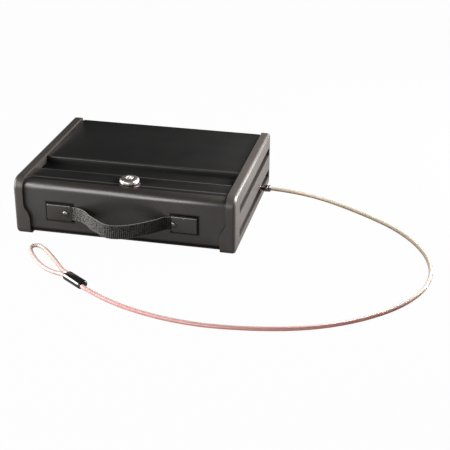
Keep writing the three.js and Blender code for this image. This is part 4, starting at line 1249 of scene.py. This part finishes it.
# %% [markdown]
# ## Hinge, linings and inner hardware
#
# The hinge's leaves are rolled strips with knuckles round one pin, and the CAD has their exact shape
# already. So each leaf is a copy of the CAD's, merged first, because a CAD mesh is loose triangles, and
# then shaded smooth.

# %% The hinge
def copy_of(node, name):
    take(frame["nodes"][node])
    bpy.ops.object.duplicate()
    piece = bpy.context.object
    piece.name = name
    bpy.ops.object.mode_set(mode="EDIT")
    bpy.ops.mesh.select_all(action="SELECT")
    bpy.ops.mesh.remove_doubles(threshold=0.001 * MM)
    bpy.ops.mesh.tris_convert_to_quads(face_threshold=math.radians(1), shape_threshold=math.radians(180))
    let_go()
    return piece


for node, body in (("hinge_leaf_body", "case"), ("hinge_leaf_lid", "lid")):
    leaf = copy_of(node, f"{node}_rolled")
    shade_smooth(leaf, 30)
    dress(leaf, body, "lid_paint", lid_paint, node)

# %% [markdown]
# Foam linings keep what is stored from rattling: one pad on the floor and one under the lid. A cut slab of
# foam is a little lower towards its corners, so the block is subdivided and its outer vertices are lowered
# in a soft curve.

# %% The foam pads
PAD_GRID = 24
PAD_EDGE = 1.2 * MM
PAD_SAG = 1.2 * MM
SAG_REACH = 1.2
for node, body, up in (("floor_pad", "case", 1), ("lid_pad", "lid", -1)):
    low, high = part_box(node)
    pad = block(f"{node}_foam", low, high)
    edit(pad, "FACE")
    bpy.ops.mesh.select_all(action="SELECT")
    bpy.ops.mesh.subdivide(number_cuts=PAD_GRID)
    let_go()
    soften(pad, width=PAD_EDGE, segments=4)
    middle = (low + high) / 2
    for vertex in pad.data.vertices:
        place = vertex.co - middle
        share = math.hypot(place.x / (high.x - low.x), place.y / (high.y - low.y))
        if place.z * up > 0:
            vertex.co.z -= up * PAD_SAG * min(1, (share * SAG_REACH) ** 4)
    dress(pad, body, "foam", foam, node)

# %% [markdown]
# Small plain hardware needs no new shape: the nuts, the washer, the cam, the strike, the pin, the bumpers
# and the steel ends are shown as the CAD draws them, and only get the finishes made above.

# %% Dress the CAD's own pieces
FINISH_BY_WORD = {
    "screw": zinc, "nut": zinc, "washer": zinc, "cam": zinc, "strike": zinc, "pin": zinc,
    "bumper": rubber, "end_plate": body_paint,
}
for node, piece in frame["nodes"].items():
    if piece.data.materials and not piece.hide_render:
        for word, material in FINISH_BY_WORD.items():
            if word in node:
                piece.data.materials[0] = material
print("CAD pieces dressed")

# %% [markdown]
# ## Floor and light
#
# The photograph is a cut-out on white. So the floor looks plain white to the camera, and nearly so through
# the vinyl. To all other rays it is a dark grey card with a faint glow in mirror-like reflections, because
# a white one would wash out the black paint. A Light Path node tells the rays apart.

# %% The floor
FLOOR_SIZE = 12
FLOOR_GREY = (0.12, 0.12, 0.12)
WHITE = (1, 1, 1, 1)
GLOW_IN_GLOSS = 0.15
WHITE_SHARE = 0.98
bpy.ops.mesh.primitive_plane_add(size=FLOOR_SIZE, location=(0, 0, 0))
floor = bpy.context.object
floor.name = "studio_floor"
floor_white, tree, shader = new_finish("floor_white", FLOOR_GREY, 0.9)
rays = add(tree, "LightPath").outputs
glow = add(tree, "Emission", {"Color": WHITE, "Strength": 1.0})
seen = calc(tree, "MAXIMUM", rays["Is Camera Ray"], rays["Is Transmission Ray"])
mirrored = calc(tree, "MULTIPLY", rays["Is Glossy Ray"], GLOW_IN_GLOSS)
shown = calc(tree, "MULTIPLY", calc(tree, "MAXIMUM", mirrored, seen), WHITE_SHARE)
mix = add(tree, "MixShader")
tree.links.new(shown, mix.inputs["Fac"])
tree.links.new(shader.outputs["BSDF"], mix.inputs[1])
tree.links.new(glow.outputs["Emission"], mix.inputs[2])
tree.links.new(mix.outputs["Shader"], tree.nodes["Material Output"].inputs["Surface"])
floor.data.materials.append(floor_white)
print("floor", FLOOR_SIZE, "m wide")

# %% [markdown]
# Black satin paint shows little but what it mirrors, so every highlight in the photograph is a lamp of its
# own. Three soft boxes in front and to the left light the tray's front and draw the long streak on its
# rolled corner. Two on the right light the right cap and the top's right edge, and a wide one behind skims
# the lid. They are placed by the angles at which they are seen from the safe.

# %% The lights
def soft_box(name, azimuth, elevation, distance, width, height, power, colour):
    a, e = math.radians(azimuth), math.radians(elevation)
    away = Vector((math.sin(a) * math.cos(e), -math.cos(a) * math.cos(e), math.sin(e)))
    bpy.ops.object.light_add(type="AREA", location=Vector((0, CASE_Y, 40 * MM)) + away * distance)
    lamp = bpy.context.object
    lamp.name = name
    lamp.rotation_mode = "QUATERNION"
    lamp.rotation_quaternion = away.to_track_quat("Z", "Y")
    lamp.data.shape = "RECTANGLE"
    lamp.data.size = width
    lamp.data.size_y = height
    lamp.data.energy = power
    lamp.data.color = colour


WARM = (1.0, 0.98, 0.96)
# Each lamp has its azimuth and elevation in degrees, its distance, width and height in metres, and its watts.
soft_box("front_box", -29, 23, 1.2, 0.6, 0.65, 6.2, WARM)
soft_box("front_low_box", -3, 11, 1.2, 0.45, 0.5, 4.6, WARM)
soft_box("left_front_box", -72, 13, 0.8, 0.5, 0.5, 14, WARM)
soft_box("right_box", 119, 13, 0.8, 0.4, 0.25, 15, (1.0, 0.96, 0.93))
soft_box("top_right_box", 90, 36, 0.42, 0.25, 0.2, 4, (1.0, 0.96, 0.94))
soft_box("back_box", 160, 18, 2.2, 0.8, 0.3, 7, (1.0, 0.98, 0.97))

# %% [markdown]
# The world is white to the camera, like the paper behind the cut-out, and only a dim fill to everything
# else.

# %% The surroundings
FILL = 0.05
world = bpy.context.scene.world or bpy.data.worlds.new("studio")
bpy.context.scene.world = world
world.use_nodes = True
tree = world.node_tree
tree.nodes.clear()
rays = add(tree, "LightPath").outputs
dim = add(tree, "Background", {"Color": WHITE, "Strength": FILL})
white = add(tree, "Background", {"Color": WHITE, "Strength": 1.0})
mix = add(tree, "MixShader")
output = add(tree, "OutputWorld")
tree.links.new(rays["Is Camera Ray"], mix.inputs["Fac"])
tree.links.new(dim.outputs["Background"], mix.inputs[1])
tree.links.new(white.outputs["Background"], mix.inputs[2])
tree.links.new(mix.outputs["Shader"], output.inputs["Surface"])
bpy.context.scene.view_settings.view_transform = "Standard"
print("world fill", FILL)

# %% [markdown]
# Last, every piece is let go.

# %% Finish
let_go()
